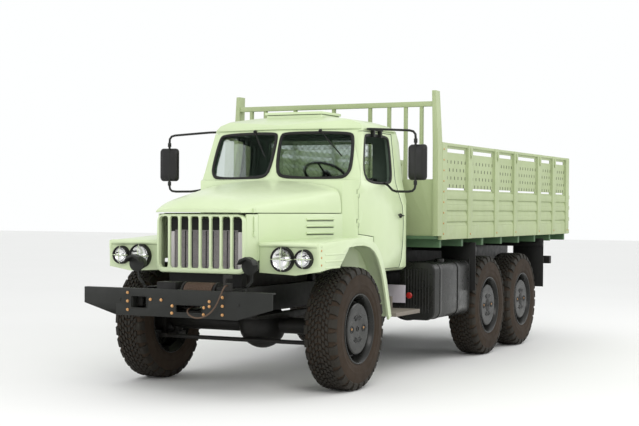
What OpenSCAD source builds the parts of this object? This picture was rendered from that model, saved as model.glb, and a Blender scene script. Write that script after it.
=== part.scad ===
// Military cargo truck: six driven wheels, long bonnet, steel drop-tail load bed. Millimetres.
// X runs across (+X is the driver's side), the nose faces -Y, Z is up.
// The origin is on the ground under the middle of the truck.

/* [Wheels] */
// Outer diameter of a tyre over its tread
tyre_d = 1125; // [1000:5:1300]
// Width of a tyre
tyre_w = 322; // [280:2:380]
// Diameter over the rim flange
rim_d = 620; // [560:5:680]
// Distance between the middles of the left and right tyres
track = 2000; // [1900:10:2200]
// Front axle to middle axle
wheelbase = 3560; // [3200:10:4300]
// Middle axle to rear axle
tandem = 1220; // [1160:10:1460]
// Radius of the hub that carries a wheel
hub_r = 110; // [90:1:130]
// Kingpin distance from the middle of the truck
kingpin_x = 790; // [740:5:800]

/* [Frame] */
// Half distance between the outer faces of the frame rails
rail_x = 440; // [380:5:480]
// Depth of a frame rail
rail_h = 230; // [200:5:260]
// Width of a rail flange
rail_w = 80; // [60:5:100]
// Wall of a frame rail
rail_t = 12; // [8:1:20]
// Height of the underside of the rails
rail_z = 725; // [700:5:780]

/* [Nose] */
// Front axle to the face of the bumper
front_reach = 1300; // [1200:10:1500]
// Width of the bumper
bumper_w = 1900; // [1700:10:2100]
// Width of the bonnet at its front
nose_w = 884; // [800:4:960]
// Width of the bonnet at its back
cowl_w = 1560; // [1480:10:1620]
// Height of the lower edge of the bonnet
bonnet_z = 1612; // [1580:4:1660]
// Height of the bonnet's ridge at the back
ridge_z = 1925; // [1880:5:1960]
// Thickness of the bonnet
bonnet_t = 22; // [12:1:40]
// Width over the front fenders
fender_w = 2180; // [2120:10:2300]

/* [Cab] */
// Width of the cab at the doors
cab_w = 1936; // [1860:4:2020]
// Wall thickness of the cab and its doors
cab_t = 46; // [36:1:60]
// Gap round each door
door_gap = 6; // [5:1:10]
// Thickness of the glass
glass_t = 8; // [5:1:12]

/* [Load bed] */
// Length of a side board
bed_l = 4700; // [4000:10:5600]
// Width over the side boards
bed_w = 2410; // [2200:10:2550]
// Height of a side board
side_h = 1006; // [800:2:1200]
// Height of the lower edge of the side boards
bed_z = 1337; // [1300:1:1400]
// Thickness of a side board
side_t = 46; // [36:1:70]
// Height of the tailgate
gate_h = 510; // [400:5:700]

/* [Hidden] */
$fn = 48;

body_green = [0.78, 0.88, 0.72];
frame_black = [0.10, 0.10, 0.11];
steel = [0.55, 0.55, 0.56];
rubber = [0.20, 0.17, 0.15];

// Stations along the truck, measured back from the front axle
bed_front = 1900;
bed_back = bed_front + bed_l;
gate_t = 46;
gate_gap = 8;
gate_hinge_r = 16;
hinge_y = bed_back + gate_gap + gate_t + gate_hinge_r + 4;
rear_reach = hinge_y + gate_hinge_r;
mid_y = (rear_reach - front_reach) / 2;
middle_y = wheelbase;
rear_y = wheelbase + tandem;
bogie_y = (middle_y + rear_y) / 2;
axle_z = tyre_d / 2;
half_track = track / 2;
rail_top = rail_z + rail_h;
rail_front = 230 - front_reach;
rail_back = bed_back - 260;
clear = 0.3;

// The range r moved along by y
function shifted(y, r) = [y + r[0], y + r[1]];

// Moves a shape from front-axle stations to the truck's own frame
module placed() {
    translate([0, -mid_y, 0])
        children();
}

module block(x, y, z) {
    translate([x[0], y[0], z[0]])
        cube([x[1] - x[0], y[1] - y[0], z[1] - z[0]]);
}

module both_sides() {
    children();
    mirror([1, 0, 0])
        children();
}

// Extrudes an outline of (y, z) points from x0 to x1
module side_slab(x, outline) {
    translate([x[0], 0, 0])
        rotate([90, 0, 90])
            linear_extrude(x[1] - x[0])
                polygon(outline);
}

// Extrudes an outline of (x, z) points from y0 to y1
module front_slab(y, outline) {
    translate([0, y[1], 0])
        rotate([90, 0, 0])
            linear_extrude(y[1] - y[0])
                polygon(outline);
}

// A rod of radius r from point a to point b
module rod(a, b, r) {
    d = b - a;
    translate(a)
        rotate([0, acos(d[2] / norm(d)), atan2(d[1], d[0])])
            cylinder(h = norm(d), r = r);
}

// A plain bar across the truck along X
module cross_rod(x, y, z, r) {
    translate([x[0], y, z])
        rotate([0, 90, 0])
            cylinder(h = x[1] - x[0], r = r);
}

// ---------------------------------------------------------------- frame

high_cross = [rail_front + 50, 1560, 2600, middle_y - 35, bogie_y - 35, rear_y - 35, rail_back - 90];
low_cross = [-420, 1130];
cab_mounts = [480, 1500];
beam_half = 1020;
beam_z = 940;
axle_r = 75;
// Seats of the springs: ends of the front pack, top of the bogie's trunnion
spring_z = rail_z - 35;
spring_ends = [-760, 700];
leaf_t = 14;
front_pack = 50;
front_bow = 15;
rear_pack = 60;
rear_bow = 20;
trunnion_z = axle_z + axle_r + clear + rear_bow - rear_pack;
trunnion_low = axle_z - 22;
cross_w = 70;
cross_h = 75;
beam_w = 90;

// A frame rail, open inwards, with its spring hangers and its half of the bogie's trunnion
module rail() {
    difference() {
        block([rail_x - rail_w, rail_x], [rail_front, rail_back - clear], [rail_z, rail_top]);
        block([rail_x - rail_w - 1, rail_x - rail_t], [rail_front - 1, rail_back + 1],
            [rail_z + rail_t, rail_top - rail_t]);
    }
    for (y = spring_ends)
        block([rail_x - 60, rail_x + 40], [y - 50, y + 50], [spring_z, rail_z + rail_t]);
    block([rail_x - 60, rail_x], shifted(bogie_y, [-90, 90]), [trunnion_low, rail_z + rail_t]);
    block([rail_x - 1, rail_x + 110], shifted(bogie_y, [-90, 90]), [trunnion_low, trunnion_z - clear]);
}

// A member between the rails, seated inside both of them
module cross_member(y, z) {
    reach = rail_x - rail_t - clear;
    block([-reach, reach], [y, y + cross_w], z);
}

module chassis_frame() {
    color(frame_black) placed() {
        both_sides()
            rail();
        for (y = high_cross)
            cross_member(y, [rail_top - cross_h, rail_top - rail_t - clear]);
        for (y = low_cross)
            cross_member(y, [rail_z + rail_t + clear, rail_z + cross_h]);
        both_sides()
            for (y = cab_mounts)
                block([rail_x - 70, rail_x - 10], [y, y + 60], [rail_top + clear, cab_floor_z - clear]);
        // rear beam that carries the tail lamps
        block([-beam_half, beam_half], [rail_back, rail_back + beam_w], [beam_z, beam_z + 100]);
    }
}

// ---------------------------------------------------------------- bumper, winch, rope

bumper_t = 60;
bumper_half = bumper_w / 2;
face_t = 12;
bumper_top = 947;
bumper_end = 806;
bumper_low = 710;
bumper_low_half = 613;
hook_hole = [[-447, -295], [780, 878]];
slot_hole = [[11, 265], [757, 816]];

// One upright plate of the bumper's face between x and z, its foot following the slanted lower corners
module face_plate(x, z) {
    low = bumper_low + face_t + clear;
    top = bumper_top - face_t - clear;
    intersection() {
        front_slab([-front_reach, -front_reach + face_t],
            [[-bumper_half, top], [-bumper_half, bumper_end], [-bumper_low_half, low],
             [bumper_low_half, low], [bumper_half, bumper_end], [bumper_half, top]]);
        block([x[0] + clear / 2, x[1] - clear / 2], [-front_reach - 1, -front_reach + bumper_t], z);
    }
}

module front_bumper() {
    color(frame_black) placed() {
        // arms back to the rails
        both_sides()
            block([rail_x + clear, rail_x + 90], [-front_reach + face_t + clear, rail_front + 220],
                [rail_z + 20, rail_top - 40]);
        // top flange, lower flange and its tongue back to the rails
        block([-bumper_half, bumper_half], [-front_reach, -front_reach + bumper_t],
            [bumper_top - face_t, bumper_top]);
        block([-bumper_low_half, bumper_low_half], [-front_reach, -front_reach + bumper_t],
            [bumper_low, bumper_low + face_t]);
        block([-rail_x - clear, rail_x + clear], [-front_reach + bumper_t + clear, rail_front - clear],
            [bumper_low, bumper_low + face_t]);
        // face, in plates round the hook hole and the rope slot
        face_plate([-bumper_half, hook_hole[0][0]], [bumper_low, bumper_top]);
        face_plate([hook_hole[0][1], slot_hole[0][0]], [bumper_low, bumper_top]);
        face_plate([slot_hole[0][1], bumper_half], [bumper_low, bumper_top]);
        for (hole = [hook_hole, slot_hole]) {
            face_plate(hole[0], [bumper_low, hole[1][0]]);
            face_plate(hole[0], [hole[1][1], bumper_top]);
        }
    }
}

winch_y = 175 - front_reach;
winch_z = 915;
drum_x = [10, 330];

module winch() {
    color(frame_black) placed() {
        cross_rod(drum_x, winch_y, winch_z, 80);
        for (x = drum_x)
            cross_rod([x - 10, x + 10], winch_y, winch_z, 96);
        cross_rod([-240, 380], winch_y, winch_z, 35);
        block([-250, -60], [winch_y - 75, winch_y + 75], [764, winch_z + 90]);
        block([350, 420], [winch_y - 70, rail_front - clear], [764, winch_z + 60]);
        block([-rail_x, rail_x], [winch_y - 90, rail_front - clear], [745, 765]);
    }
}

// Middle line of the rope: out of the slot, a slack loop, then up to the hook on the bumper's edge
rope_r = 7;
rope_path = [[130, 175, 827], [130, 140, 827], [131, 95, 814], [132, 50, 797], [134, 10, 788],
    [138, -18, 780], [148, -38, 764], [168, -48, 744], [196, -52, 729], [228, -52, 720], [262, -52, 718],
    [298, -52, 724], [334, -52, 737], [368, -52, 756], [398, -52, 781], [424, -51, 811], [446, -50, 845],
    [464, -47, 881], [478, -42, 917], [488, -34, 951], [494, -20, 977], [498, -2, 993],
    [498, 14, 996], [498, 29, 996]];
rope_route = [for (p = rope_path) p - [0, front_reach, 0]];

function unit(v) = v / norm(v);
function rope_dir(p, i) = unit(p[min(i + 1, len(p) - 1)] - p[max(i - 1, 0)]);
function rope_side(d) = unit(cross(d, abs(d[2]) < 0.9 ? [0, 0, 1] : [0, 1, 0]));
function rope_ring(c, d, r, n) = [for (k = [0 : n - 1])
    c + r * (cos(360 * k / n) * rope_side(d) + sin(360 * k / n) * cross(rope_side(d), d))];

// Sweeps a tube along a list of points
module tube(points, r, n = 8) {
    rings = [for (i = [0 : len(points) - 1]) each rope_ring(points[i], rope_dir(points, i), r, n)];
    last = (len(points) - 1) * n;
    walls = [for (i = [0 : len(points) - 2]) for (k = [0 : n - 1])
        each [[i * n + k, i * n + (k + 1) % n, (i + 1) * n + k],
              [i * n + (k + 1) % n, (i + 1) * n + (k + 1) % n, (i + 1) * n + k]]];
    polyhedron(rings, concat([[for (k = [n - 1 : -1 : 0]) k]], walls,
        [[for (k = [0 : n - 1]) last + k]]), convexity = 6);
}

module winch_rope() {
    color("saddlebrown") placed()
        tube(rope_route, rope_r);
}

module rope_hook() {
    end = rope_route[len(rope_route) - 1];
    color(steel) placed()
        difference() {
            block([end[0] - 38, end[0] + 38], [end[1] + clear, end[1] + 28],
                [bumper_top + clear, end[2] + 90]);
            block([end[0] - 16, end[0] + 39], [end[1], end[1] + 29], [end[2] + 20, end[2] + 60]);
        }
}

module tow_hooks() {
    color(frame_black) placed() {
        // front hook on the end of the right rail
        difference() {
            block([-436, -380], [-front_reach + 70, rail_front - clear], [790, 870]);
            translate([-437, -front_reach + 120, 830])
                rotate([0, 90, 0])
                    cylinder(h = 80, r = 22);
        }
        // rear pintle
        translate([0, rail_back + beam_w + clear, beam_z + 50])
            difference() {
                union() {
                    block([-80, 80], [0, 20], [-60, 60]);
                    block([-30, 30], [0, 130], [-30, 30]);
                }
                translate([0, 90, -40])
                    cylinder(h = 80, r = 21);
            }
    }
}

// ---------------------------------------------------------------- power train

engine_back = 330;

module engine_block() {
    color(steel) placed()
        block([-310, 310], [-560, engine_back], [rail_z + cross_h + clear, 1540]);
}

radiator_y = [-800, -715];

module radiator() {
    color(steel) placed()
        block([-376, 376], radiator_y, [rail_top + clear, 1560]);
}

gearbox_back = 1100;
transfer_y = [1500, 1950];
shaft_z = 640;
shaft_gap = 0.5;

module driveline() {
    color(steel) placed() {
        // gearbox, then the transfer case
        block([-190, 190], [engine_back + clear, gearbox_back], [730, cab_floor_z - 10]);
        block([-180, 220], transfer_y, [560, rail_top - cross_h - clear]);
        translate([0, gearbox_back - 1, 850])
            rotate([-90, 0, 0])
                cylinder(h = transfer_y[0] - gearbox_back + 2, r = 45);
        rod([diff_x, diff_r + shaft_gap, axle_z], [diff_x, transfer_y[0] + 1, shaft_z], 38);
        rod([diff_x, transfer_y[1] - 1, shaft_z], [diff_x, middle_y - diff_r - shaft_gap, axle_z], 42);
        rod([diff_x, middle_y + diff_r + clear, axle_z], [diff_x, rear_y - diff_r - clear, axle_z], 42);
    }
}

diff_x = 147;
diff_r = 222;

// Half section of an axle as (radius, x): plain tubes with the round differential case between them
diff_bulge = [for (a = [-70 : 10 : 70]) [diff_r * cos(a), diff_x + diff_r * sin(a)]];
function axle_profile(reach) = concat([[0, -reach], [axle_r, -reach], [axle_r, diff_x - diff_r]], diff_bulge,
    [[axle_r, diff_x + diff_r], [axle_r, reach], [0, reach]]);

module axle_beam(y, reach) {
    translate([0, y, axle_z])
        rotate([0, 90, 0])
            rotate_extrude()
                polygon(axle_profile(reach));
}

module front_axle() {
    color(frame_black) placed()
        difference() {
            axle_beam(0, kingpin_x + 40);
            both_sides()
                translate([kingpin_x, 0, axle_z - 100])
                    cylinder(h = 200, r = 45 + clear);
        }
}

module rear_axles() {
    color(frame_black) placed()
        for (y = [middle_y, rear_y]) {
            axle_beam(y, half_track + 130);
            both_sides()
                cross_rod([half_track - 200, half_track + 100], y, axle_z, hub_r);
        }
}

// One spring pack, thickest in the middle, bowed down by drop at its middle
module spring_pack(x, y, z_end, drop, depth) {
    mid = (y[0] + y[1]) / 2;
    half = (y[1] - y[0]) / 2;
    steps = 12;
    top = [for (i = [0 : steps]) let (u = -1 + 2 * i / steps) [mid + u * half, z_end - drop * (1 - u * u)]];
    low = [for (i = [steps : -1 : 0]) let (u = -1 + 2 * i / steps)
        [mid + u * half, z_end - drop * (1 - u * u) - leaf_t - depth * (1 - abs(u))]];
    side_slab([x - 45, x + 45], concat(top, low));
}

module leaf_springs() {
    color(frame_black) placed()
        both_sides() {
            spring_pack(rail_x - 10, spring_ends, spring_z - 2 - clear, -front_bow, front_pack);
            block([rail_x - 55, rail_x + 35], [-110, 50],
                [axle_z + axle_r + clear, spring_z + front_bow - front_pack]);
            spring_pack(rail_x + 60, [middle_y, rear_y], axle_z + axle_r + clear + leaf_t,
                -rear_bow, rear_pack);
        }
}

// ---------------------------------------------------------------- knuckles and wheels

module knuckle() {
    color(frame_black) {
        translate([kingpin_x, 0, axle_z - 150])
            cylinder(h = 300, r = 45);
        for (z = [axle_z - 150, axle_z + 100])
            block([kingpin_x - 50, kingpin_x + 115], [-60, 60], [z, z + 50]);
        block([kingpin_x + 85, kingpin_x + 115], [-90, 90], [axle_z - 150, axle_z + 150]);
        cross_rod([kingpin_x + 100, half_track + 100], 0, axle_z, hub_r);
        // steering arm
        block([kingpin_x - 20, kingpin_x + 70], [-230, -50], [axle_z - 150, axle_z - 110]);
    }
}

module left_knuckle() {
    placed()
        knuckle();
}

module right_knuckle() {
    placed()
        mirror([1, 0, 0])
            knuckle();
}

// Half section of a wheel as (radius, offset outwards) points: tyre, rim and dished disc in one
wheel_profile = let (r = tyre_d / 2, w = tyre_w / 2, f = rim_d / 2) [
    [hub_r + clear, 55], [hub_r + clear, 90], [150, 96], [200, 120], [f - 20, 128], [f - 10, w - 22],
    [f + 10, w - 22], [f + 20, w - 18], [f + 60, w], [(r + f) / 2, w], [r - 70, w - 12],
    [r - 18, w - 30], [r, w - 60], [r, 60 - w], [r - 18, 30 - w], [r - 70, 12 - w],
    [(r + f) / 2, -w], [f + 60, -w], [f + 20, 18 - w], [f + 10, 22 - w], [f - 10, 22 - w],
    [f - 30, 20 - w], [f - 40, 95], [200, 85], [150, 62]];

module wheel(y) {
    color(rubber)
        translate([half_track, y, axle_z])
            rotate([0, 90, 0])
                difference() {
                    rotate_extrude($fn = 96)
                        polygon(wheel_profile);
                    // hand holes
                    for (a = [0 : 60 : 300])
                        rotate(a)
                            translate([175, 0, 0])
                                cylinder(h = 200, r = 28);
                }
}

module front_left_wheel() {
    placed()
        wheel(0);
}

module front_right_wheel() {
    placed()
        mirror([1, 0, 0])
            wheel(0);
}

module middle_left_wheel() {
    placed()
        wheel(middle_y);
}

module middle_right_wheel() {
    placed()
        mirror([1, 0, 0])
            wheel(middle_y);
}

module rear_left_wheel() {
    placed()
        wheel(rear_y);
}

module rear_right_wheel() {
    placed()
        mirror([1, 0, 0])
            wheel(rear_y);
}

// ---------------------------------------------------------------- nose

nose_y = -930;
panel_y = -720;
bonnet_back = 372;
grille_face = -900;
nose_half = nose_w / 2;
cowl_half = cowl_w / 2;
// Half width of the bonnet's lower edge at a station
function nose_x(y) = nose_half + (cowl_half - nose_half) * (y - nose_y) / (bonnet_back - nose_y);
// Outer face of the engine side panels at a station
function panel_x(y) = nose_x(y) - 2;
// Height of the shoulder and of the ridge at a station
function rise(y) = (y - nose_y) / (bonnet_back - nose_y);
function nose_drop(y) = y > nose_y + 160 ? 0 : pow(1 - (y - nose_y) / 160, 2);
function shoulder_h(y) = (66 + 160 * rise(y)) * (1 - 0.55 * nose_drop(y));
function crown_h(y) = (118 + (ridge_z - bonnet_z - 118) * pow(rise(y), 0.8)) * (1 - 0.62 * nose_drop(y));

// Half of the bonnet's section as (x, z), from the lower edge up to the ridge
function bonnet_half(y) = let (x = nose_x(y), s = shoulder_h(y), c = crown_h(y), z = bonnet_z) [
    [x, z], [x - 4, z + s * 0.45], [x - 20, z + s * 0.84], [x - 60, z + s + (c - s) * 0.12],
    [x * 0.68, z + s + (c - s) * 0.52], [x * 0.38, z + s + (c - s) * 0.86], [0, z + c]];
function mirrored(half) = concat(half, [for (i = [len(half) - 2 : -1 : 0]) [-half[i][0], half[i][1]]]);
function reversed(list) = [for (i = [len(list) - 1 : -1 : 0]) list[i]];

// Joins a list of rings, each with as many points, into one closed solid
module loft(rings) {
    n = len(rings[0]);
    points = [for (ring = rings) each ring];
    last = (len(rings) - 1) * n;
    walls = [for (i = [0 : len(rings) - 2]) for (k = [0 : n - 1])
        each [[i * n + k, (i + 1) * n + (k + 1) % n, (i + 1) * n + k],
              [i * n + k, i * n + (k + 1) % n, (i + 1) * n + (k + 1) % n]]];
    polyhedron(points, concat([[for (k = [n - 1 : -1 : 0]) k]], walls,
        [[for (k = [0 : n - 1]) last + k]]), convexity = 8);
}

bonnet_stations = [nose_y, nose_y + 25, nose_y + 70, nose_y + 160, -600, -300, 0, 200, bonnet_back];
hollow_stations = [nose_y + 30, nose_y + 70, nose_y + 160, -600, -300, 0, 200, bonnet_back + 5];

module bonnet() {
    color(body_green) placed() {
        for (x = lid_lugs) {
            cross_rod([x - lug_h, x], lid_axis[0], lid_axis[1], 7);
            block([x - lug_h, x], [bonnet_back - 12, lid_axis[0]], [lid_axis[1] - 7, lid_axis[1] + 4]);
        }
        difference() {
            loft([for (y = bonnet_stations) [for (p = mirrored(bonnet_half(y))) [p[0], y, p[1]]]]);
            loft([for (y = hollow_stations) [for (p = mirrored(bonnet_half(y)))
                [p[0] * (1 - bonnet_t / nose_x(y)), y,
                 p[1] - (p[1] <= bonnet_z ? bonnet_t * 2 : bonnet_t)]]]);
        }
    }
}

grille_slots = 8;
grille_bar = 26;
grille_open = [-428, 428];
grille_open_z = [1117, 1575];
grille_low = 1075;

module grille_shell() {
    pitch = (grille_open[1] - grille_open[0] + grille_bar) / grille_slots;
    half = nose_half + 16;
    side_y = grille_face + 39;
    color(body_green) placed()
        difference() {
            union() {
                front_slab([grille_face, grille_face + 40],
                    [[-half, grille_low + 90], [-half + 14, grille_low + 40], [-half + 60, grille_low],
                     [half - 60, grille_low], [half - 14, grille_low + 40], [half, grille_low + 90],
                     [half - 22, bonnet_z - 12], [-half + 22, bonnet_z - 12]]);
                both_sides()
                    translate([0, 0, grille_low + 40])
                        linear_extrude(bonnet_z - 12 - grille_low - 40)
                            polygon([[panel_x(side_y) - 24, side_y], [panel_x(panel_y) - 24, panel_y],
                                [panel_x(panel_y), panel_y], [panel_x(side_y), side_y]]);
            }
            for (i = [0 : grille_slots - 1])
                block([grille_open[0] + i * pitch, grille_open[0] + (i + 1) * pitch - grille_bar],
                    [grille_face - 1, grille_face + 41], grille_open_z);
        }
}

panel_t = 16;

module engine_side_panels() {
    y = [panel_y + clear, cowl_front - clear];
    outline = [[panel_x(y[0]), y[0]], [panel_x(y[1]), y[1]], [panel_x(y[1]) - panel_t, y[1]],
        [panel_x(y[0]) - panel_t, y[0]]];
    color(body_green) placed()
        both_sides()
            translate([0, 0, 1190])
                linear_extrude(bonnet_z - 8 - 1190)
                    polygon(outline);
}

fender_x = fender_w / 2;
fender_t = 14;
lamp_y = [-712, -696];
// Outer edge of a fender in side view as (y, z): flat top, then the arch down behind the wheel
fender_top = [[-720, 1345], [-560, 1354], [-200, 1369], [100, 1384], [250, 1382], [390, 1358],
    [500, 1312], [590, 1240], [660, 1150], [715, 1050], [760, 940], [810, 790], [868, 620]];
function lowered(path, dy, dz) = [for (p = path) [p[0] + dy, p[1] + dz]];
fender_under = [for (i = [0 : len(fender_top) - 1]) let (u = i / (len(fender_top) - 1))
    fender_top[i] + [-fender_t * sin(90 * u), -fender_t * cos(60 * u)]];
fender_lip = [for (i = [0 : len(fender_top) - 1]) let (u = i / (len(fender_top) - 1))
    fender_top[i] + [-60 * sin(90 * u), -34 - 40 * cos(90 * u)]];

module fender() {
    // skin, running from the engine side panel out to the lip
    intersection() {
        side_slab([400, fender_x], concat(fender_top, reversed(fender_under)));
        translate([0, 0, 500])
            linear_extrude(1000)
                polygon([[panel_x(-730) + clear, -730], [panel_x(cowl_front) + clear, cowl_front],
                    [cowl_half + 40 + clear, 470], [cab_half - 88 + clear, 560],
                    [cab_half - 40 + clear, 800], [cab_half - 20, 900], [1300, 900], [1300, -730]]);
    }
    side_slab([fender_x - 24, fender_x], concat(fender_top, reversed(fender_lip)));
    // outer panel ahead of the wheel
    side_slab([fender_x - 24, fender_x], [[-720, 1345], [-560, 1354], [-100, 1369], [-100, 1307],
        [-290, 1140], [-710, 1105]]);
    // lamp panel
    front_slab(lamp_y, [[panel_x(lamp_y[1]) + clear, 1345], [panel_x(lamp_y[1]) + clear, 1085], [860, 1068],
        [fender_x, 1105], [fender_x, 1345]]);
}

module front_fenders() {
    color(body_green) placed()
        both_sides()
            fender();
}

big_lamp = [739, 1207, 106];
small_lamp = [948, 1212, 80];

module headlamps() {
    color("silver") placed()
        both_sides()
            for (lamp = [big_lamp, small_lamp])
                translate([lamp[0], lamp_y[0] - clear, lamp[1]])
                    rotate([90, 0, 0]) {
                        cylinder(h = 40, r = lamp[2]);
                        translate([0, 0, 39])
                            cylinder(h = 16, r1 = lamp[2] - 8, r2 = lamp[2] - 34);
                    }
}

blackout_z = 1155;
blackout_x = 578;
blackout_y = rail_front + 85;

module blackout_lamps() {
    color(frame_black) placed()
        both_sides() {
            translate([blackout_x, blackout_y - 45, blackout_z])
                rotate([-90, 0, 0])
                    cylinder(h = 90, r1 = 78, r2 = 50);
            front_slab([blackout_y - 125, blackout_y - 44], [[blackout_x - 80, blackout_z + 10],
                [blackout_x - 60, blackout_z + 56], [blackout_x, blackout_z + 80],
                [blackout_x + 60, blackout_z + 56], [blackout_x + 80, blackout_z + 10],
                [blackout_x + 50, blackout_z + 40], [blackout_x, blackout_z + 60],
                [blackout_x - 50, blackout_z + 40]]);
            tube([[blackout_x, blackout_y, blackout_z - 40], [blackout_x, blackout_y, 1020],
                [540, blackout_y, 980], [515, blackout_y, 950],
                [515, blackout_y, rail_top - 40 + clear]], 14);
        }
}

// ---------------------------------------------------------------- cab

cab_half = cab_w / 2;
cab_floor_z = 1035;
cab_back = 1620;
cowl_front = 394;
roof_z = 2420;
roof_top = 2575;
pane_rake = atan(0.372);
pane_turn = 10.5;
pane_foot = [426, 1940];

// Front view of the cab as (x, z) half outline, set in by t
function cab_side(t) = [[0, cab_floor_z + t], [cab_half - 90 - t, cab_floor_z + t],
    [cab_half - 34 - t, cab_floor_z + 30 + t * 0.4], [cab_half - 12 - t, 1150], [cab_half - t, 1330],
    [cab_half - t, 1540], [cab_half - 14 - t, 1690], [cab_half - 62 - t, 1830], [cab_half - 92 - t, 1930],
    [cab_half - 148 - t, roof_z + 20], [cab_half - 190 - t, roof_z + 62 - t],
    [cab_half - 330 - t, roof_z + 108 - t],
    [cab_half - 560, roof_z + 138 - t], [0, roof_top - t]];

// Plan of the cab as (x, y) half outline, set in by t
function cab_plan(t) = [[0, cowl_front + t], [cowl_half - t * 0.6, cowl_front + t],
    [cowl_half + 40 - t, 470],
    [cab_half - 88 - t, 560], [cab_half - 40 - t, 800], [cab_half - 8 - t, 1100], [cab_half - t, 1300],
    [cab_half - t, 1480], [cab_half - 30 - t, 1580 - t * 0.7], [cab_half - 90 - t, cab_back - t],
    [0, cab_back - t]];

// Side view of the cab as (y, z), set in by t
function cab_profile(t) = [[cowl_front + t, cab_floor_z + t], [cab_back - t, cab_floor_z + t],
    [cab_back - t, 2330], [cab_back - 50 - t, roof_z + 10], [cab_back - 180, roof_z + 90 - t],
    [1150, roof_top - t], [900, roof_top - 14 - t], [660, roof_z + 60 - t], [560 + t, roof_z + 20 - t],
    [400 + t, ridge_z + 20], [cowl_front + t, ridge_z - t]];

// One half of the space behind the raked, turned windscreen and under the cowl's top
module pane_space(t) {
    translate([0, pane_foot[0] + t, 0])
        rotate(pane_turn)
            side_slab([-200, 1300], [[-700, 900], [-700, ridge_z - 10 - t], [-40 - t, ridge_z - 4 - t],
                [0, pane_foot[1] - t],
                [tan(pane_rake) * (2700 - pane_foot[1] + t), 2700], [2000, 2700], [2000, 900]]);
}

module cab_solid(t) {
    both_sides()
        intersection() {
            front_slab([300, 1700], cab_side(t));
            translate([0, 0, 1000])
                linear_extrude(1700)
                    polygon(cab_plan(t));
            side_slab([-1, 1100], cab_profile(t));
            pane_space(t);
        }
}

// Side outline of the door opening as (y, z), grown by g
function door_outline(g) = [[556 - g, 1836], [556 - g, 1412 - g], [800 - 2.2 * g, 1386 - g],
    [845 - 2.2 * g, 1068 - g],
    [1400 + 2.4 * g, 1068 - g], [1430 + 2.4 * g, 1500], [1430 + 2.4 * g, 2400 + g], [742 - g, 2400 + g],
    [612 - g, 1990]];
door_window = [[690, 1990], [760, 1915], [1000, 1900], [1290, 1908], [1345, 1960], [1362, 2100],
    [1362, 2320], [1330, 2375], [820, 2372], [780, 2340], [700, 2090]];

// Outline of a windscreen pane in its own plane as (across, up), shrunk by s
function pane_outline(s) = [[42 + s, 64 + s * 0.6], [130, 6 + s], [700, -2 + s], [770 - s, 60],
    [788 - s, 150], [784 - s, 430], [740, 478 - s], [90, 480 - s], [46 + s, 440]];

// Puts a shape that lies in the plane of the left windscreen pane into its place
module on_pane(depth) {
    translate([0, pane_foot[0], 0])
        rotate(pane_turn)
            translate([0, 0, pane_foot[1]])
                rotate([90 - pane_rake, 0, 0])
                    translate([0, 0, -depth])
                        children();
}

rear_window = [[-560, 560], [1960, 2330]];

module cab_windows() {
    both_sides()
        on_pane(120)
            linear_extrude(240)
                polygon(pane_outline(0));
    block(rear_window[0], [cab_back - 120, cab_back + 1], rear_window[1]);
}

module cab_hollow() {
    difference() {
        cab_solid(0);
        cab_solid(cab_t);
    }
}

// Door hinge: axis, and the heights where a cab lug meets a door knuckle
door_axis = [cab_half - 100, 550];
door_hinges = [1480, 1760];
hinge_r = 10;
notch_r = 16;
lug_h = 34;
// Bonnet hinge line
lid_axis = [380, 1910];
lid_lugs = [-200, 200];

// Round shapes on the axis of a door, one at each hinge, from z0 to z1 above the hinge's foot
module on_door_axis(z0, z1, r) {
    for (z = door_hinges)
        translate([door_axis[0], door_axis[1], z + z0])
            cylinder(h = z1 - z0, r = r);
}

module cab_lugs() {
    both_sides()
        on_door_axis(0, lug_h, hinge_r);
    for (x = lid_lugs) {
        cross_rod([x + clear, x + lug_h], lid_axis[0], lid_axis[1], 7);
        block([x + clear, x + lug_h], [lid_axis[0], cowl_front + 20], [lid_axis[1] - 7, lid_axis[1] + 7]);
    }
}

module cab_shell() {
    color(body_green) placed() {
        cab_lugs();
        difference() {
            intersection() {
                cab_hollow();
                block([-1200, 1200], [300, 1700], [1000, roof_z]);
            }
            both_sides() {
                side_slab([cab_half - 195, 1100], door_outline(door_gap));
                on_door_axis(lug_h, 2 * lug_h + 6, notch_r);
            }
            cab_windows();
        }
    }
}

hatch = [[-320, 320], [880, 1320]];
hatch_axis = [hatch[1][1] + 18, roof_top + 26];
hatch_lugs = [-220, 220];

module cab_roof() {
    color(body_green) placed()
        difference() {
            union() {
                intersection() {
                    cab_hollow();
                    block([-1200, 1200], [300, 1700], [roof_z + clear, 2700]);
                }
                // coaming of the hatch
                block([hatch[0][0] + 12, hatch[0][1] - 12], [hatch[1][0] + 12, hatch[1][1] - 12],
                    [2500, roof_top + 10]);
                for (x = hatch_lugs) {
                    cross_rod([x + clear, x + lug_h], hatch_axis[0], hatch_axis[1], 8);
                    block([x + clear, x + lug_h], shifted(hatch_axis[0], [-8, 8]), [2480, hatch_axis[1]]);
                }
            }
            block([hatch[0][0] + 30, hatch[0][1] - 30], [hatch[1][0] + 30, hatch[1][1] - 30], [2400, 2700]);
        }
}

module roof_hatch() {
    color(body_green) placed() {
        block(hatch[0], hatch[1], [roof_top + 15, roof_top + 40]);
        for (x = hatch_lugs) {
            cross_rod([x - lug_h, x], hatch_axis[0], hatch_axis[1], 8);
            block([x - lug_h, x], [hatch[1][1] - 1, hatch_axis[0]], [hatch_axis[1] - 8, hatch_axis[1] + 8]);
        }
    }
}

module cab_glass() {
    color([0.6, 0.75, 0.75, 0.5]) placed() {
        both_sides()
            on_pane(24)
                linear_extrude(glass_t)
                    polygon(pane_outline(clear));
        block([rear_window[0][0] + clear, rear_window[0][1] - clear], shifted(cab_back - 30, [0, glass_t]),
            [rear_window[1][0] + clear, rear_window[1][1] - clear]);
    }
}

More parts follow.
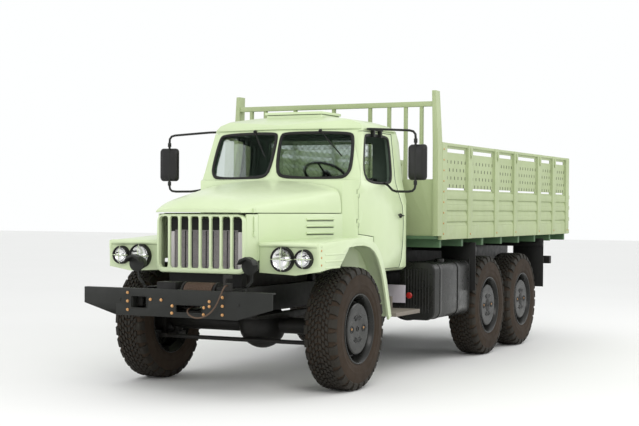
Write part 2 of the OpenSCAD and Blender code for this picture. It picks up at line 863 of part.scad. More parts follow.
module door() {
    color(body_green) {
        difference() {
            intersection() {
                cab_hollow();
                side_slab([cab_half - 195, 1100], door_outline(0));
            }
            side_slab([cab_half - 200, 1101], door_window);
            on_door_axis(-6, lug_h + clear, notch_r);
        }
        // hinge knuckles
        on_door_axis(lug_h + clear, 2 * lug_h + clear, hinge_r);
        for (z = door_hinges)
            block([door_axis[0] - 24, door_axis[0]], [door_axis[1] + 2, door_axis[1] + 24],
                [z + lug_h + clear, z + 2 * lug_h + clear]);
    }
}

module left_door() {
    placed()
        door();
}

module right_door() {
    placed()
        mirror([1, 0, 0])
            door();
}

mirror_out = 1375;
mirror_y = 750;

module door_mirror() {
    r = 11;
    color(frame_black) {
        tube([[cab_half - 118, 1150, 2424], [cab_half - 118, 760, 2424], [mirror_out - 40, mirror_y, 2395],
            [mirror_out, mirror_y, 2345], [mirror_out, mirror_y, 1865], [mirror_out - 55, mirror_y, 1820],
            [1130, 830, 1822], [cab_half - 74, 1140, 1900]], r);
        // clamps on the door's top frame
        for (y = [950, 1120])
            block([cab_half - 137, cab_half - 116], [y - 14, y + 14], [2352, 2430]);
        translate([mirror_out + 12, mirror_y + 18, 2096])
            rotate(-12)
                block([-100, 100], [-14, 20], [-170, 170]);
    }
}

module left_mirror() {
    placed()
        door_mirror();
}

module right_mirror() {
    placed()
        mirror([1, 0, 0])
            door_mirror();
}

seat_z = 1400;

module cab_seats() {
    color("dimgray") placed()
        for (x = [[130, 640], [-680, 60]]) {
            block(x, [930, 1400], [seat_z, seat_z + 120]);
            block(x, [1410, 1520], [seat_z, seat_z + 560]);
            block([x[0] + 30, x[1] - 30], [960, 1480], [cab_floor_z + cab_t + clear, seat_z]);
        }
}

wheel_centre = [340, 930, 1985];
wheel_lean = -33;
wheel_r = 228;
column_r = 20;

// Puts a shape made round the Z axis onto the steering column
module on_column() {
    translate(wheel_centre)
        rotate([wheel_lean, 0, 0])
            children();
}

module dashboard() {
    color("dimgray") placed()
        difference() {
            union() {
                block([-740, 740], [cowl_front + cab_t + clear, 640], [1600, 1870]);
                on_column()
                    translate([0, 0, -600])
                        cylinder(h = 200, r = 42);
                block([wheel_centre[0] - 42, wheel_centre[0] + 42], [560, 640], [1500, 1601]);
            }
            on_column()
                translate([0, 0, -601])
                    cylinder(h = 202, r = column_r + clear);
        }
}

module steering_wheel() {
    color(frame_black) placed()
        on_column() {
            rotate_extrude()
                translate([wheel_r - 14, 0])
                    circle(r = 14);
            cylinder(h = 30, r = 45);
            for (a = [30, 150, 270])
                rotate(a)
                    rod([0, 0, 10], [wheel_r - 14, 0, 0], 9);
            translate([0, 0, -590])
                cylinder(h = 610, r = column_r);
        }
}

// ---------------------------------------------------------------- side equipment

tank_x = [770, 1150];
tank_y = shifted(middle_y, [-1735, -680]);
tank_z = [510, 1100];

// A box with rounded edges along the truck
module rounded_box(x, y, z, r) {
    translate([0, y[1], 0])
        rotate([90, 0, 0])
            linear_extrude(y[1] - y[0]) {
                for (px = [x[0] + r, x[1] - r], pz = [z[0] + r, z[1] - r])
                    translate([px, pz])
                        circle(r = r);
                polygon([[x[0] + r, z[0]], [x[1] - r, z[0]], [x[1], z[0] + r], [x[1], z[1] - r],
                    [x[1] - r, z[1]], [x[0] + r, z[1]], [x[0], z[1] - r], [x[0], z[0] + r]]);
            }
}

module fuel_tank() {
    color(frame_black) placed() {
        rounded_box(tank_x, tank_y, tank_z, 90);
        // brackets to the rail
        for (y = [tank_y[0] + 230, tank_y[1] - 230])
            block([rail_x + clear, tank_x[0] + 40], [y - 25, y + 25], [760, 840]);
    }
}

module battery_box() {
    color(frame_black) placed()
        mirror([1, 0, 0]) {
            block([700, 1130], shifted(tank_y[0], [0, 575]), [640, 1040]);
            for (y = [75, 435])
                block([rail_x + clear, 710], shifted(tank_y[0], [y, y + 60]), [760, 840]);
            // air tanks
            for (z = [700, 930])
                translate([850, tank_y[0] + 615, z])
                    rotate([-90, 0, 0])
                        cylinder(h = 460, r = 105);
            block([rail_x + clear, 880], shifted(tank_y[0], [815, 875]), [690, 940]);
        }
}

module exhaust() {
    color(steel) placed()
        mirror([1, 0, 0]) {
            translate([600, 1150, 880])
                rotate([-90, 0, 0])
                    cylinder(h = 600, r = 95);
            tube([[310 + clear, 200, 1000], [350, 200, 1000], [430, 230, 1000], [500, 300, 985],
                [540, 420, 940], [580, 600, 890], [600, 800, 880], [600, 1151, 880]], 34, 12);
            tube([[600, 1749, 880], [600, 1790, 860], [600, 1830, 760], [600, 1900, 660],
                [600, 2000, 640], [600, 2760, 640]], 34, 12);
            block([rail_x + clear, 560], [1400, 1450], [840, 900]);
        }
}

step_z = [600, 640];

module cab_steps() {
    color("saddlebrown") placed()
        both_sides() {
            block([780, 1090], [980, 1600], step_z);
            for (y = [1020, 1540])
                block([rail_x + clear, 800], [y, y + 30], [step_z[0], 760]);
        }
}

guard_x = [800, 1200];
guard_y = [middle_y - 625, rear_y + 690];
guard_t = 12;

module rear_mudguards() {
    color(frame_black) placed()
        both_sides() {
            block(guard_x, shifted(guard_y[0], [0, guard_t]), [760, 1290]);
            block(guard_x, shifted(guard_y[1], [0, guard_t]), [680, 1290]);
            for (y = [guard_y[0] + guard_t, guard_y[1] - 30])
                block([rail_x + clear, guard_x[1]], [y, y + 30], [beam_z + 250, beam_z + 300]);
        }
}

// ---------------------------------------------------------------- load bed

floor_t = 32;
plate_t = 4;
floor_beams = 8;
// Width and depth of a cross beam
floor_beam = [60, 90];
gate_hinges = [-900, -300, 300, 900];
floor_z = bed_z + 8;
deck_z = floor_z + floor_t + plate_t;
bed_half = bed_w / 2;

module cargo_floor() {
    inner = bed_half - side_t - clear;
    spacing = (bed_l - 80 - floor_beam[0]) / (floor_beams - 1);
    color(body_green) placed() {
        block([-inner, inner], [head_y[0], bed_back], [floor_z, floor_z + floor_t]);
        // tread plate of the deck, inside the boards
        block([-inner + 6, inner - 6], [bed_front + 6, bed_back - 6], [deck_z - plate_t - 1, deck_z]);
        // cross beams
        for (i = [0 : floor_beams - 1])
            block([-inner, inner], shifted(bed_front + 40 + i * spacing, [0, floor_beam[0]]),
                [floor_z - floor_beam[1], floor_z - clear]);
        // long sills on the rails
        both_sides()
            block([rail_x - rail_w, rail_x], [bed_front, rail_back],
                [rail_top + clear, floor_z - floor_beam[1] - clear]);
        // lugs under the tailgate's hinges
        for (x = gate_hinges) {
            block([x + 40 + clear, x + 80], [bed_back - 60, hinge_y + 10],
                [hinge_z - 60, hinge_z - gate_hinge_r]);
            block([x + 40 + clear, x + 80], [hinge_y - 10, hinge_y + 10], [hinge_z - 30, hinge_z]);
            cross_rod([x + 40 + clear, x + 80], hinge_y, hinge_z, gate_hinge_r);
        }
    }
}

post_x = 1157;
post_top = 2867;
bar_z = 2747;
panel_top = 1960;
head_y = [1790, 1850];
head_bars = [-997, -825, -460, 0, 385 + 37, 639, 826, 1002];

module headboard() {
    color(body_green) placed() {
        both_sides()
            front_slab([head_y[0] - 10, bed_front - clear], [[post_x - 12, floor_z + floor_t + clear],
                [post_x + 48, floor_z + floor_t + clear], [post_x + 44, 2343], [post_x + 12, post_top],
                [post_x - 28, post_top], [post_x - 16, 2343]]);
        block([-post_x, post_x], head_y, [bar_z - 40, bar_z + 10]);
        block([-post_x, post_x], [head_y[0] + 10, head_y[1] - 10], [floor_z + floor_t + clear, panel_top]);
        for (x = head_bars)
            block([x - 16, x + 16], [head_y[0] + 10, head_y[1] - 10], [panel_top - 1, bar_z - 39]);
    }
}

post_w = 140;
side_posts = [for (u = [0, 0.171, 0.365, 0.518, 0.724, 0.864, 1]) u * (bed_l - post_w)];

// Heights of the raised bands along a side board, above the bed
board_bands = [[0, 143], [186, 249], [303, 366], [420, 500]];

module side_board() {
    top = bed_z + side_h;
    difference() {
        union() {
            block([bed_half - side_t, bed_half - side_t + 16], [bed_front, bed_back], [bed_z, top]);
            for (y = side_posts)
                block([bed_half - side_t + 15, bed_half], shifted(bed_front + y, [0, post_w]), [bed_z, top]);
            block([bed_half - side_t, bed_half - 8], [bed_front, bed_back], [top - 30, top]);
            for (band = board_bands)
                block([bed_half - side_t, bed_half - 12], [bed_front, bed_back], shifted(bed_z, band));
        }
        // long slots near the top and at mid height
        for (i = [0 : len(side_posts) - 2])
            for (z = [[bed_z + 520, bed_z + 540], [top - 95, top - 55]])
                block([bed_half - side_t - 1, bed_half + 1],
                    [bed_front + side_posts[i] + post_w + 20, bed_front + side_posts[i + 1] - 20], z);
    }
}

module side_boards() {
    color(body_green) placed()
        both_sides()
            side_board();
}

gate_y = [bed_back + gate_gap, bed_back + gate_gap + gate_t];
gate_half = bed_half - 8;
hinge_z = bed_z + 14;

module tailgate() {
    color(body_green) placed() {
        block([-gate_half, gate_half], [gate_y[0], gate_y[0] + 16], [bed_z + 6, bed_z + gate_h]);
        for (z = [bed_z + 6, bed_z + 170, bed_z + 320, bed_z + gate_h - 50])
            block([-gate_half, gate_half], gate_y, [z, z + 50]);
        for (x = gate_hinges) {
            block([x - 40, x + 40], [gate_y[1] - 10, hinge_y], [bed_z + 6, bed_z + 30]);
            cross_rod([x - 40, x + 40], hinge_y, hinge_z, gate_hinge_r);
        }
    }
}

chassis_frame();
front_bumper();
winch();
winch_rope();
rope_hook();
tow_hooks();
engine_block();
radiator();
front_axle();
rear_axles();
leaf_springs();
driveline();
left_knuckle();
right_knuckle();
front_left_wheel();
front_right_wheel();
middle_left_wheel();
middle_right_wheel();
rear_left_wheel();
rear_right_wheel();
bonnet();
grille_shell();
engine_side_panels();
front_fenders();
headlamps();
blackout_lamps();
cab_shell();
cab_roof();
roof_hatch();
cab_glass();
left_door();
right_door();
left_mirror();
right_mirror();
cab_seats();
dashboard();
steering_wheel();
fuel_tank();
battery_box();
exhaust();
cab_steps();
rear_mudguards();
cargo_floor();
headboard();
side_boards();
tailgate();
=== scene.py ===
import math
from math import cos, pi, radians, sin, tan

import bmesh
import bpy
from mathutils import Matrix, Vector


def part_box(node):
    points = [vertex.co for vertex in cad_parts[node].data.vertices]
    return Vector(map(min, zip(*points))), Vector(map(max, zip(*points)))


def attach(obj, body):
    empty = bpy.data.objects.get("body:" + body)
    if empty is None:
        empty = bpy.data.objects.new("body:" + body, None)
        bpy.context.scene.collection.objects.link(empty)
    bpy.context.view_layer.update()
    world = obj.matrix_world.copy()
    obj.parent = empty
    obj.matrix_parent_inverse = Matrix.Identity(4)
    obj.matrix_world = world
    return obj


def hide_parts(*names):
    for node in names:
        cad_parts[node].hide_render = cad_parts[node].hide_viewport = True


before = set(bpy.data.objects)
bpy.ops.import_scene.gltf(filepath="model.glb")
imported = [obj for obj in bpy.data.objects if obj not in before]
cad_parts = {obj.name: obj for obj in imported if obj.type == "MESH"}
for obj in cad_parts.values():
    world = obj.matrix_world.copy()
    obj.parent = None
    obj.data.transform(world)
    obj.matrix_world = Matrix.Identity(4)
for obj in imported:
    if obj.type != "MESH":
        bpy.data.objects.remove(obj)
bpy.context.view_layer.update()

# Stations along the truck are measured back from the front axle, as in the part's source.
wheel_low, wheel_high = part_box("front_left_wheel")
AXLE_Y = (wheel_low.y + wheel_high.y) / 2
AXLE_Z = (wheel_low.z + wheel_high.z) / 2
TYRE_R = (wheel_high.z - wheel_low.z) / 2


def at(station):
    return AXLE_Y + station


# ------------------------------------------------------------------ camera

camera = bpy.data.objects.new("camera", bpy.data.cameras.new("camera"))
bpy.context.scene.collection.objects.link(camera)
bpy.context.scene.camera = camera
CAMERA_PLACE = (6.208, at(-11.069), 1.650)
CAMERA_YAW = 26.47
CAMERA_PITCH = 1.445
CAMERA_ROLL = 0.35
camera.matrix_world = (Matrix.Translation(CAMERA_PLACE) @ Matrix.Rotation(radians(CAMERA_YAW), 4, "Z")
                       @ Matrix.Rotation(radians(90 - CAMERA_PITCH), 4, "X")
                       @ Matrix.Rotation(radians(CAMERA_ROLL), 4, "Z"))
camera.data.sensor_width = 36
camera.data.lens = 75.7
camera.data.shift_x = 0.0062
camera.data.shift_y = 0.0463
camera.data.clip_end = 200

# ------------------------------------------------------------------ materials


class Nodes:
    """Short forms for the shader nodes that the finishes share."""

    def __init__(self, name):
        self.material = bpy.data.materials.new(name)
        self.material.use_nodes = True
        self.tree = self.material.node_tree
        self.shader = self.tree.nodes["Principled BSDF"]
        coordinates = self.tree.nodes.new("ShaderNodeTexCoord")
        self.place = coordinates.outputs["Object"]

    def link(self, a, b):
        self.tree.links.new(a, b)

    def noise(self, scale, detail=4.0, stretch=(1, 1, 1)):
        mapping = self.tree.nodes.new("ShaderNodeMapping")
        mapping.inputs["Scale"].default_value = stretch
        self.link(self.place, mapping.inputs["Vector"])
        node = self.tree.nodes.new("ShaderNodeTexNoise")
        node.inputs["Scale"].default_value = scale
        node.inputs["Detail"].default_value = detail
        self.link(mapping.outputs["Vector"], node.inputs["Vector"])
        return node.outputs["Fac"]

    def ranged(self, value, low, high, to_low, to_high):
        node = self.tree.nodes.new("ShaderNodeMapRange")
        for key, number in (("From Min", low), ("From Max", high), ("To Min", to_low), ("To Max", to_high)):
            node.inputs[key].default_value = number
        self.link(value, node.inputs["Value"])
        return node.outputs["Result"]

    def times(self, a, b):
        node = self.tree.nodes.new("ShaderNodeMath")
        node.operation = "MULTIPLY"
        self.link(a, node.inputs[0])
        self.link(b, node.inputs[1])
        return node.outputs[0]

    def mix(self, amount, a, b):
        node = self.tree.nodes.new("ShaderNodeMix")
        node.data_type = "RGBA"
        self.link(amount, node.inputs["Factor"])
        for socket, value in ((node.inputs[6], a), (node.inputs[7], b)):
            if isinstance(value, tuple):
                socket.default_value = (*value, 1)
            else:
                self.link(value, socket)
        return node.outputs[2]

    def height(self):
        node = self.tree.nodes.new("ShaderNodeSeparateXYZ")
        self.link(self.place, node.inputs[0])
        return node.outputs["Z"]

    def bump(self, value, strength, distance):
        node = self.tree.nodes.new("ShaderNodeBump")
        node.inputs["Strength"].default_value = strength
        node.inputs["Distance"].default_value = distance
        self.link(value, node.inputs["Height"])
        self.link(node.outputs["Normal"], self.shader.inputs["Normal"])


def finish(name, colour, shade, rough, metal=0.0, dust=0.0, dust_colour=(0.30, 0.24, 0.17), dust_top=1.1,
           grain=220.0, relief=0.25, patches=2.2, coat=0.0, specular=0.5):
    """A finish whose colour drifts from colour to shade, with dust that gathers towards the ground."""
    n = Nodes(name)
    n.shader.inputs["Metallic"].default_value = metal
    n.shader.inputs["Specular IOR Level"].default_value = specular
    n.shader.inputs["Coat Weight"].default_value = coat
    n.shader.inputs["Coat Roughness"].default_value = 0.2
    drift = n.ranged(n.noise(patches, 6), 0.3, 0.7, 0.0, 1.0)
    tone = n.mix(drift, colour, shade)
    if dust:
        low_down = n.ranged(n.height(), 0.2, dust_top, dust, dust * 0.12)
        spots = n.ranged(n.noise(9, 8, (1, 1, 0.35)), 0.35, 0.65, 0.25, 1.0)
        amount = n.times(low_down, spots)
        tone = n.mix(amount, tone, dust_colour)
    n.link(tone, n.shader.inputs["Base Color"])
    n.link(n.ranged(n.noise(14, 5), 0.3, 0.7, rough - 0.07, rough + 0.09), n.shader.inputs["Roughness"])
    n.bump(n.noise(grain, 3), relief, 0.0012)
    return n.material


PAINT = finish("pale_green_paint", (0.600, 0.700, 0.450), (0.560, 0.665, 0.410), 0.36, dust=0.16,
               dust_colour=(0.40, 0.41, 0.27), dust_top=1.5, grain=90, relief=0.10, coat=0.2)
# The load bed's green, darker and duller than the cab's paint
PLATE_PAINT = finish("darker_bed_green_paint", (0.390, 0.460, 0.255), (0.345, 0.410, 0.220), 0.55, dust=0.25,
                     dust_colour=(0.30, 0.31, 0.18), dust_top=2.0, grain=90, relief=0.15)
# The green paint made deep and dark to stand for shade: painted shade, used on the load bed's deck, with some
# dust low down
PAINTED_SHADE_GREEN = finish("painted_shade_green_paint", (0.075, 0.150, 0.070), (0.060, 0.120, 0.060), 0.55, dust=0.15,
                      specular=0.3)
LINING = finish("cab_lining", (0.110, 0.150, 0.115), (0.090, 0.125, 0.095), 0.65, specular=0.2)
BLACK = finish("black_chassis_paint", (0.0070, 0.0072, 0.0070), (0.0120, 0.0120, 0.0110), 0.48, dust=0.30,
               dust_colour=(0.030, 0.024, 0.017), specular=0.22)
BUMPER = finish("charcoal_paint", (0.0105, 0.0115, 0.0100), (0.0150, 0.0160, 0.0140), 0.46, dust=0.08,
                relief=0.35, dust_colour=(0.04, 0.036, 0.028), specular=0.30)
GLOSSY = finish("tank_paint", (0.0080, 0.0085, 0.0075), (0.0120, 0.0125, 0.0110), 0.30, dust=0.10,
                dust_colour=(0.035, 0.030, 0.022), relief=0.15, specular=0.35)
IRON = finish("cast_iron", (0.020, 0.020, 0.019), (0.036, 0.033, 0.029), 0.55, metal=0.4, dust=0.4,
              relief=0.5, dust_colour=(0.045, 0.036, 0.026), specular=0.3)
CORE = finish("radiator_core", (0.66, 0.61, 0.63), (0.56, 0.52, 0.54), 0.5, relief=0.3)
SHROUD = finish("radiator_shroud", (0.62, 0.58, 0.60), (0.54, 0.51, 0.53), 0.5, relief=0.2)
CHROME = finish("bright_reflector", (0.85, 0.86, 0.86), (0.80, 0.80, 0.80), 0.14, metal=1.0, relief=0.05)
BRASS = finish("brass_bolts", (0.62, 0.36, 0.16), (0.45, 0.24, 0.10), 0.36, metal=0.75, relief=0.2)
TYRE = finish("dusty_tyre", (0.024, 0.0165, 0.0110), (0.034, 0.0235, 0.0155), 0.80, dust=0.5,
              dust_colour=(0.050, 0.033, 0.021), dust_top=1.6, grain=120, relief=0.5, specular=0.2)
TREAD = finish("worn_tread", (0.0150, 0.0140, 0.0110), (0.0230, 0.0205, 0.0160), 0.70, dust=0.25,
               dust_colour=(0.040, 0.028, 0.018), grain=120, relief=0.5, specular=0.25)
RUBBER = finish("black_rubber", (0.0065, 0.0065, 0.0062), (0.0110, 0.0110, 0.0100), 0.50,
                relief=0.3, specular=0.3)
PLASTIC = finish("moulded_plastic", (0.0085, 0.0085, 0.0085), (0.0130, 0.0130, 0.0125), 0.42,
                 grain=500, relief=0.4, specular=0.35)
VINYL = finish("black_vinyl", (0.0090, 0.0090, 0.0090), (0.0140, 0.0135, 0.0130), 0.36, grain=260, relief=0.6)
ROPE = finish("oily_rope", (0.060, 0.035, 0.022), (0.115, 0.072, 0.046), 0.50,
              metal=0.35, grain=380, relief=0.9)
BOARD = finish("worn_board", (0.200, 0.180, 0.155), (0.140, 0.122, 0.102), 0.7,
               dust=0.3, grain=60, relief=0.6)
CARD = finish("pale_box", (0.55, 0.51, 0.57), (0.50, 0.46, 0.51), 0.5, relief=0.2)
RED = finish("lamp_red", (0.45, 0.03, 0.02), (0.38, 0.02, 0.02), 0.2, relief=0.2)


def clear_finish(name, colour, rough, alpha):
    n = Nodes(name)
    n.link(n.mix(n.ranged(n.noise(3, 3), 0.3, 0.7, 0, 1), colour, tuple(c * 0.9 for c in colour)),
           n.shader.inputs["Base Color"])
    n.shader.inputs["Roughness"].default_value = rough
    n.shader.inputs["Transmission Weight"].default_value = 1.0
    n.shader.inputs["IOR"].default_value = 1.1
    n.shader.inputs["Alpha"].default_value = alpha
    return n.material


GLASS = clear_finish("window_glass", (0.42, 0.52, 0.47), 0.02, 0.55)
LENS = clear_finish("lamp_lens", (0.95, 0.95, 0.95), 0.06, 0.6)

# ------------------------------------------------------------------ mesh kit

# Turns an outline of (y, z) points, or of (x, z) points, that is extruded along its third number
SIDE = Matrix(((0, 0, 1, 0), (1, 0, 0, 0), (0, 1, 0, 0), (0, 0, 0, 1)))
FACE = Matrix(((1, 0, 0, 0), (0, 0, -1, 0), (0, 1, 0, 0), (0, 0, 0, 1)))
ALONG_X = Matrix.Rotation(radians(90), 4, "Y")
FORWARD = Matrix.Rotation(radians(90), 4, "X")
FLIP = Matrix.Diagonal((-1, 1, 1, 1))


def move(x, y, z):
    return Matrix.Translation((x, y, z))


class Shape:
    """Collects the points and faces of one piece."""

    def __init__(self):
        self.verts = []
        self.faces = []

    def add(self, verts, faces, place=None):
        first = len(self.verts)
        self.verts += [place @ Vector(v) if place else Vector(v) for v in verts]
        self.faces += [tuple(first + i for i in face) for face in faces]

    def box(self, x, y, z, place=None):
        verts = [(a, b, c) for a in x for b in y for c in z]
        faces = [(0, 1, 3, 2), (4, 6, 7, 5), (0, 4, 5, 1), (2, 3, 7, 6), (0, 2, 6, 4), (1, 5, 7, 3)]
        self.add(verts, faces, place)

    def prism(self, outline, low, high, place=None):
        n = len(outline)
        verts = [(*p, h) for h in (low, high) for p in outline]
        walls = [(i, (i + 1) % n, n + (i + 1) % n, n + i) for i in range(n)]
        self.add(verts, walls + [tuple(range(n - 1, -1, -1)), tuple(range(n, 2 * n))], place)

    def loft(self, rings, place=None, closed=True, caps=False):
        n = len(rings[0])
        span = n if closed else n - 1
        verts = [p for ring in rings for p in ring]
        faces = [(i * n + k, i * n + (k + 1) % n, (i + 1) * n + (k + 1) % n, (i + 1) * n + k)
                 for i in range(len(rings) - 1) for k in range(span)]
        if caps:
            faces += [tuple(range(n - 1, -1, -1)), tuple((len(rings) - 1) * n + k for k in range(n))]
        self.add(verts, faces, place)

    def lathe(self, profile, place=None, steps=48):
        """Turns a list of (radius, height) about the local Z axis."""
        rings = [[(r * cos(2 * pi * k / steps), r * sin(2 * pi * k / steps), h) for k in range(steps)]
                 for r, h in profile]
        self.loft(rings, place)

    def tube(self, points, r, sides=10, closed=False, place=None):
        """Sweeps a round or flattened section along points; r is one number or (across, up)."""
        across, up = r if isinstance(r, tuple) else (r, r)
        points = [Vector(p) for p in points]
        n = len(points)
        rings = []
        normal = None
        for i, p in enumerate(points):
            before = points[i - 1] if i or closed else p
            after = points[(i + 1) % n] if i < n - 1 or closed else p
            along = (after - before).normalized()
            if normal is None:
                aside = Vector((0, 0, 1)) if abs(along.z) < 0.9 else Vector((0, 1, 0))
                normal = along.cross(aside).normalized()
            else:
                normal = (normal - along * normal.dot(along)).normalized()
            side = along.cross(normal)
            rings.append([p + normal * across * cos(2 * pi * k / sides) + side * up * sin(2 * pi * k / sides)
                          for k in range(sides)])
        if closed:
            rings.append(rings[0])
        self.loft(rings, place, caps=not closed)

    def bolt(self, centre, towards, r=0.012, h=0.012, sides=8):
        turn = Vector((0, 0, 1)).rotation_difference(Vector(towards)).to_matrix().to_4x4()
        self.lathe([(r * 1.25, 0), (r * 1.25, h * 0.25), (r, h * 0.3), (r, h * 0.8), (r * 0.6, h), (0, h)],
                   Matrix.Translation(centre) @ turn, sides)

    def mirrored(self):
        """Adds the same shape again on the truck's other side."""
        self.add([(-v.x, v.y, v.z) for v in self.verts], [tuple(reversed(f)) for f in self.faces])
        return self

    def make(self, name, material, slot, body="truck", bevel=0.0, smooth=40, stands_for=(), subdivide=0,
             thick=0.0):
        mesh = bpy.data.meshes.new(name)
        mesh.from_pydata([tuple(v) for v in self.verts], [], self.faces)
        return dress(name, mesh, material, body, bevel, smooth, stands_for, subdivide, thick)


def dress(name, mesh, material, body, bevel=0.0, smooth=40, stands_for=(), subdivide=0, thick=0.0):
    """Cleans a mesh, rounds its edges, gives it its finish and lets it ride on its body."""
    work = bmesh.new()
    work.from_mesh(mesh)
    bmesh.ops.remove_doubles(work, verts=work.verts, dist=0.00005)
    bmesh.ops.recalc_face_normals(work, faces=work.faces)
    work.to_mesh(mesh)
    work.free()
    piece = bpy.data.objects.new(name, mesh)
    bpy.context.scene.collection.objects.link(piece)
    if subdivide:
        modifier = piece.modifiers.new("round", "SUBSURF")
        modifier.levels = modifier.render_levels = subdivide
    if thick:
        modifier = piece.modifiers.new("thick", "SOLIDIFY")
        modifier.thickness = thick
    if bevel:
        modifier = piece.modifiers.new("edges", "BEVEL")
        modifier.width = bevel
        modifier.segments = 2
        modifier.angle_limit = radians(32)
    if subdivide or thick or bevel:
        done = bpy.data.meshes.new_from_object(piece.evaluated_get(bpy.context.evaluated_depsgraph_get()))
        piece.modifiers.clear()
        piece.data = done
    piece.data.shade_smooth()
    piece.data.set_sharp_from_angle(angle=radians(smooth))
    piece.data.materials.clear()
    piece.data.materials.append(material)
    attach(piece, body)
    if stands_for:
        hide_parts(*stands_for)
    return piece


def softened(node, material, body="truck", bevel=0.004, smooth=35):
    """The CAD node's own shape with its edges rounded, standing in for it."""
    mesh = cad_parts[node].data.copy()
    work = bmesh.new()
    work.from_mesh(mesh)
    bmesh.ops.remove_doubles(work, verts=work.verts, dist=0.00005)
    bmesh.ops.dissolve_limit(work, angle_limit=radians(1.5), verts=work.verts, edges=work.edges)
    work.to_mesh(mesh)
    work.free()
    return dress(node + "_finish", mesh, material, body, bevel, smooth, (node,))


def second_finish(piece, material, chosen):
    """Gives the faces that chosen(face) picks another finish."""
    piece.data.materials.append(material)
    for face in piece.data.polygons:
        if chosen(face):
            face.material_index = 1


def faces_inward(face):
    """True on the inner walls of the cab."""
    centre = Vector((0, at(1.05), 1.80))
    return (face.center - centre).dot(face.normal) < 0


def paint_node(node, material):
    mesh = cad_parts[node].data
    mesh.materials.clear()
    mesh.materials.append(material)
    mesh.shade_smooth()
    mesh.set_sharp_from_angle(angle=radians(35))


# ------------------------------------------------------------------ winch rope, a free cord

FRONT_REACH = 1.300
ROPE_R = 0.007
# Across the truck, back from the bumper's face and up, in millimetres
ROPE_PATH = [(130, 175, 827), (130, 140, 827), (131, 95, 814), (132, 50, 797), (134, 10, 788),
             (138, -18, 780), (148, -38, 764), (168, -48, 744), (196, -52, 729), (228, -52, 720),
             (262, -52, 718), (298, -52, 724), (334, -52, 737), (368, -52, 756), (398, -52, 781),
             (424, -51, 811), (446, -50, 845), (464, -47, 881), (478, -42, 917), (488, -34, 951),
             (494, -20, 977), (498, -2, 993), (498, 14, 996), (498, 29, 996)]
rope_points = [(x / 1000, at(y / 1000 - FRONT_REACH), z / 1000) for x, y, z in ROPE_PATH]


def rope_curve(name, points, r):
    """A curve of one open spline through points."""
    curve = bpy.data.curves.new(name, "CURVE")
    curve.dimensions = "3D"
    curve.bevel_depth = r
    curve.bevel_resolution = 3
    curve.use_fill_caps = True
    spline = curve.splines.new("POLY")
    spline.points.add(len(points) - 1)
    for point, place in zip(spline.points, points):
        point.co = (*place, 1)
    curve.materials.append(ROPE)
    piece = bpy.data.objects.new(name, curve)
    bpy.context.scene.collection.objects.link(piece)
    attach(piece, "truck")
    return piece


rope = rope_curve("winch_rope_end", rope_points, ROPE_R)
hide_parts("winch_rope")

# ------------------------------------------------------------------ wheels

WHEELS = {row + side + "_wheel": sign for row in ("front_", "middle_", "rear_")
          for side, sign in (("left", 1), ("right", -1))}
LUGS = 28
GROOVE = TYRE_R - 0.016


def tyre_shape():
    shape = Shape()
    half = [(0.312, 0.139), (0.330, 0.148), (0.352, 0.156), (0.356, 0.1575), (0.362, 0.157), (0.400, 0.1605),
            (0.404, 0.162), (0.410, 0.1605), (0.450, 0.158), (0.490, 0.152), (0.520, 0.142),
            (GROOVE - 0.008, 0.122), (GROOVE, 0.090), (GROOVE + 0.001, 0)]
    shape.lathe(half + [(r, -x) for r, x in reversed(half[:-1])], steps=90)
    return shape


def tread_shape():
    """Shoulder blocks with slanting rows of small square blocks between them."""
    shape = Shape()
    shoulder = [(GROOVE - 0.001, 0.098), (TYRE_R - 0.001, 0.100), (TYRE_R - 0.009, 0.134), (0.536, 0.1485),
                (0.500, 0.1580), (0.492, 0.151), (0.520, 0.138), (GROOVE - 0.006, 0.118)]
    rows = [(0.004, 0.033, 0.0), (0.037, 0.065, 0.36), (0.069, 0.096, 0.72)]
    pitch = 2 * pi / LUGS
    for side in (1, -1):
        for k in range(LUGS):
            blocks = [(shoulder, 0.0, 0.60, 0.0)]
            for low_x, high_x, shift in rows:
                square = [(GROOVE - 0.001, low_x), (TYRE_R - 0.0005, low_x + 0.002),
                          (TYRE_R - 0.0005 - 0.05 * high_x, high_x - 0.002), (GROOVE - 0.001, high_x)]
                blocks += [(square, 0.5 * half + 0.5 * shift, 0.37, 1.0) for half in (0, 1)]
            for section, start, width, skew in blocks:
                rings = []
                for edge in (0, 1):
                    ring = []
                    for r, x in section:
                        taper = 0.03 * (r - GROOVE) / 0.016 * (1 - 2 * edge)
                        a = pitch * (k + 0.5 * (side < 0) + start + width * edge + taper) + skew * (x - 0.05)
                        ring.append((r * cos(a), r * sin(a), side * x))
                    rings.append(ring)
                shape.loft(rings, caps=True)
    return shape


def disc_shape():
    """The rim and the raised drum of its disc, seen from outside along +Z."""
    shape = Shape()
    outside = [(0, 0.128), (0.060, 0.128), (0.150, 0.130), (0.205, 0.134), (0.222, 0.132), (0.232, 0.125),
               (0.236, 0.112), (0.238, 0.070), (0.250, 0.046), (0.266, 0.044), (0.276, 0.060),
               (0.284, 0.100), (0.296, 0.126), (0.304, 0.144), (0.311, 0.151), (0.318, 0.152),
               (0.322, 0.147), (0.317, 0.137), (0.300, 0.120), (0.284, 0.040), (0.272, -0.090)]
    inside = [(0.302, -0.128), (0.318, -0.139), (0.322, -0.147), (0.314, -0.150), (0.300, -0.136),
              (0.262, -0.092), (0.262, 0.020), (0.225, 0.050), (0.170, 0.056), (0.115, 0.060)]
    shape.lathe(outside + inside, steps=72)
    return shape


def arc_strip(shape, r, half_w, middle, spread, base, top, steps=10):
    """A raised or sunken curved bar on the disc's face."""
    rings = []
    for k in range(steps + 1):
        a = radians(middle - spread + 2 * spread * k / steps)
        w = half_w * (1 - 0.75 * abs(2 * k / steps - 1) ** 6)
        rings.append([((r + d) * cos(a), (r + d) * sin(a), h) for d, h in
                      ((-w, base), (-w * 0.6, top), (w * 0.6, top), (w, base))])
    shape.loft(rings, caps=True)


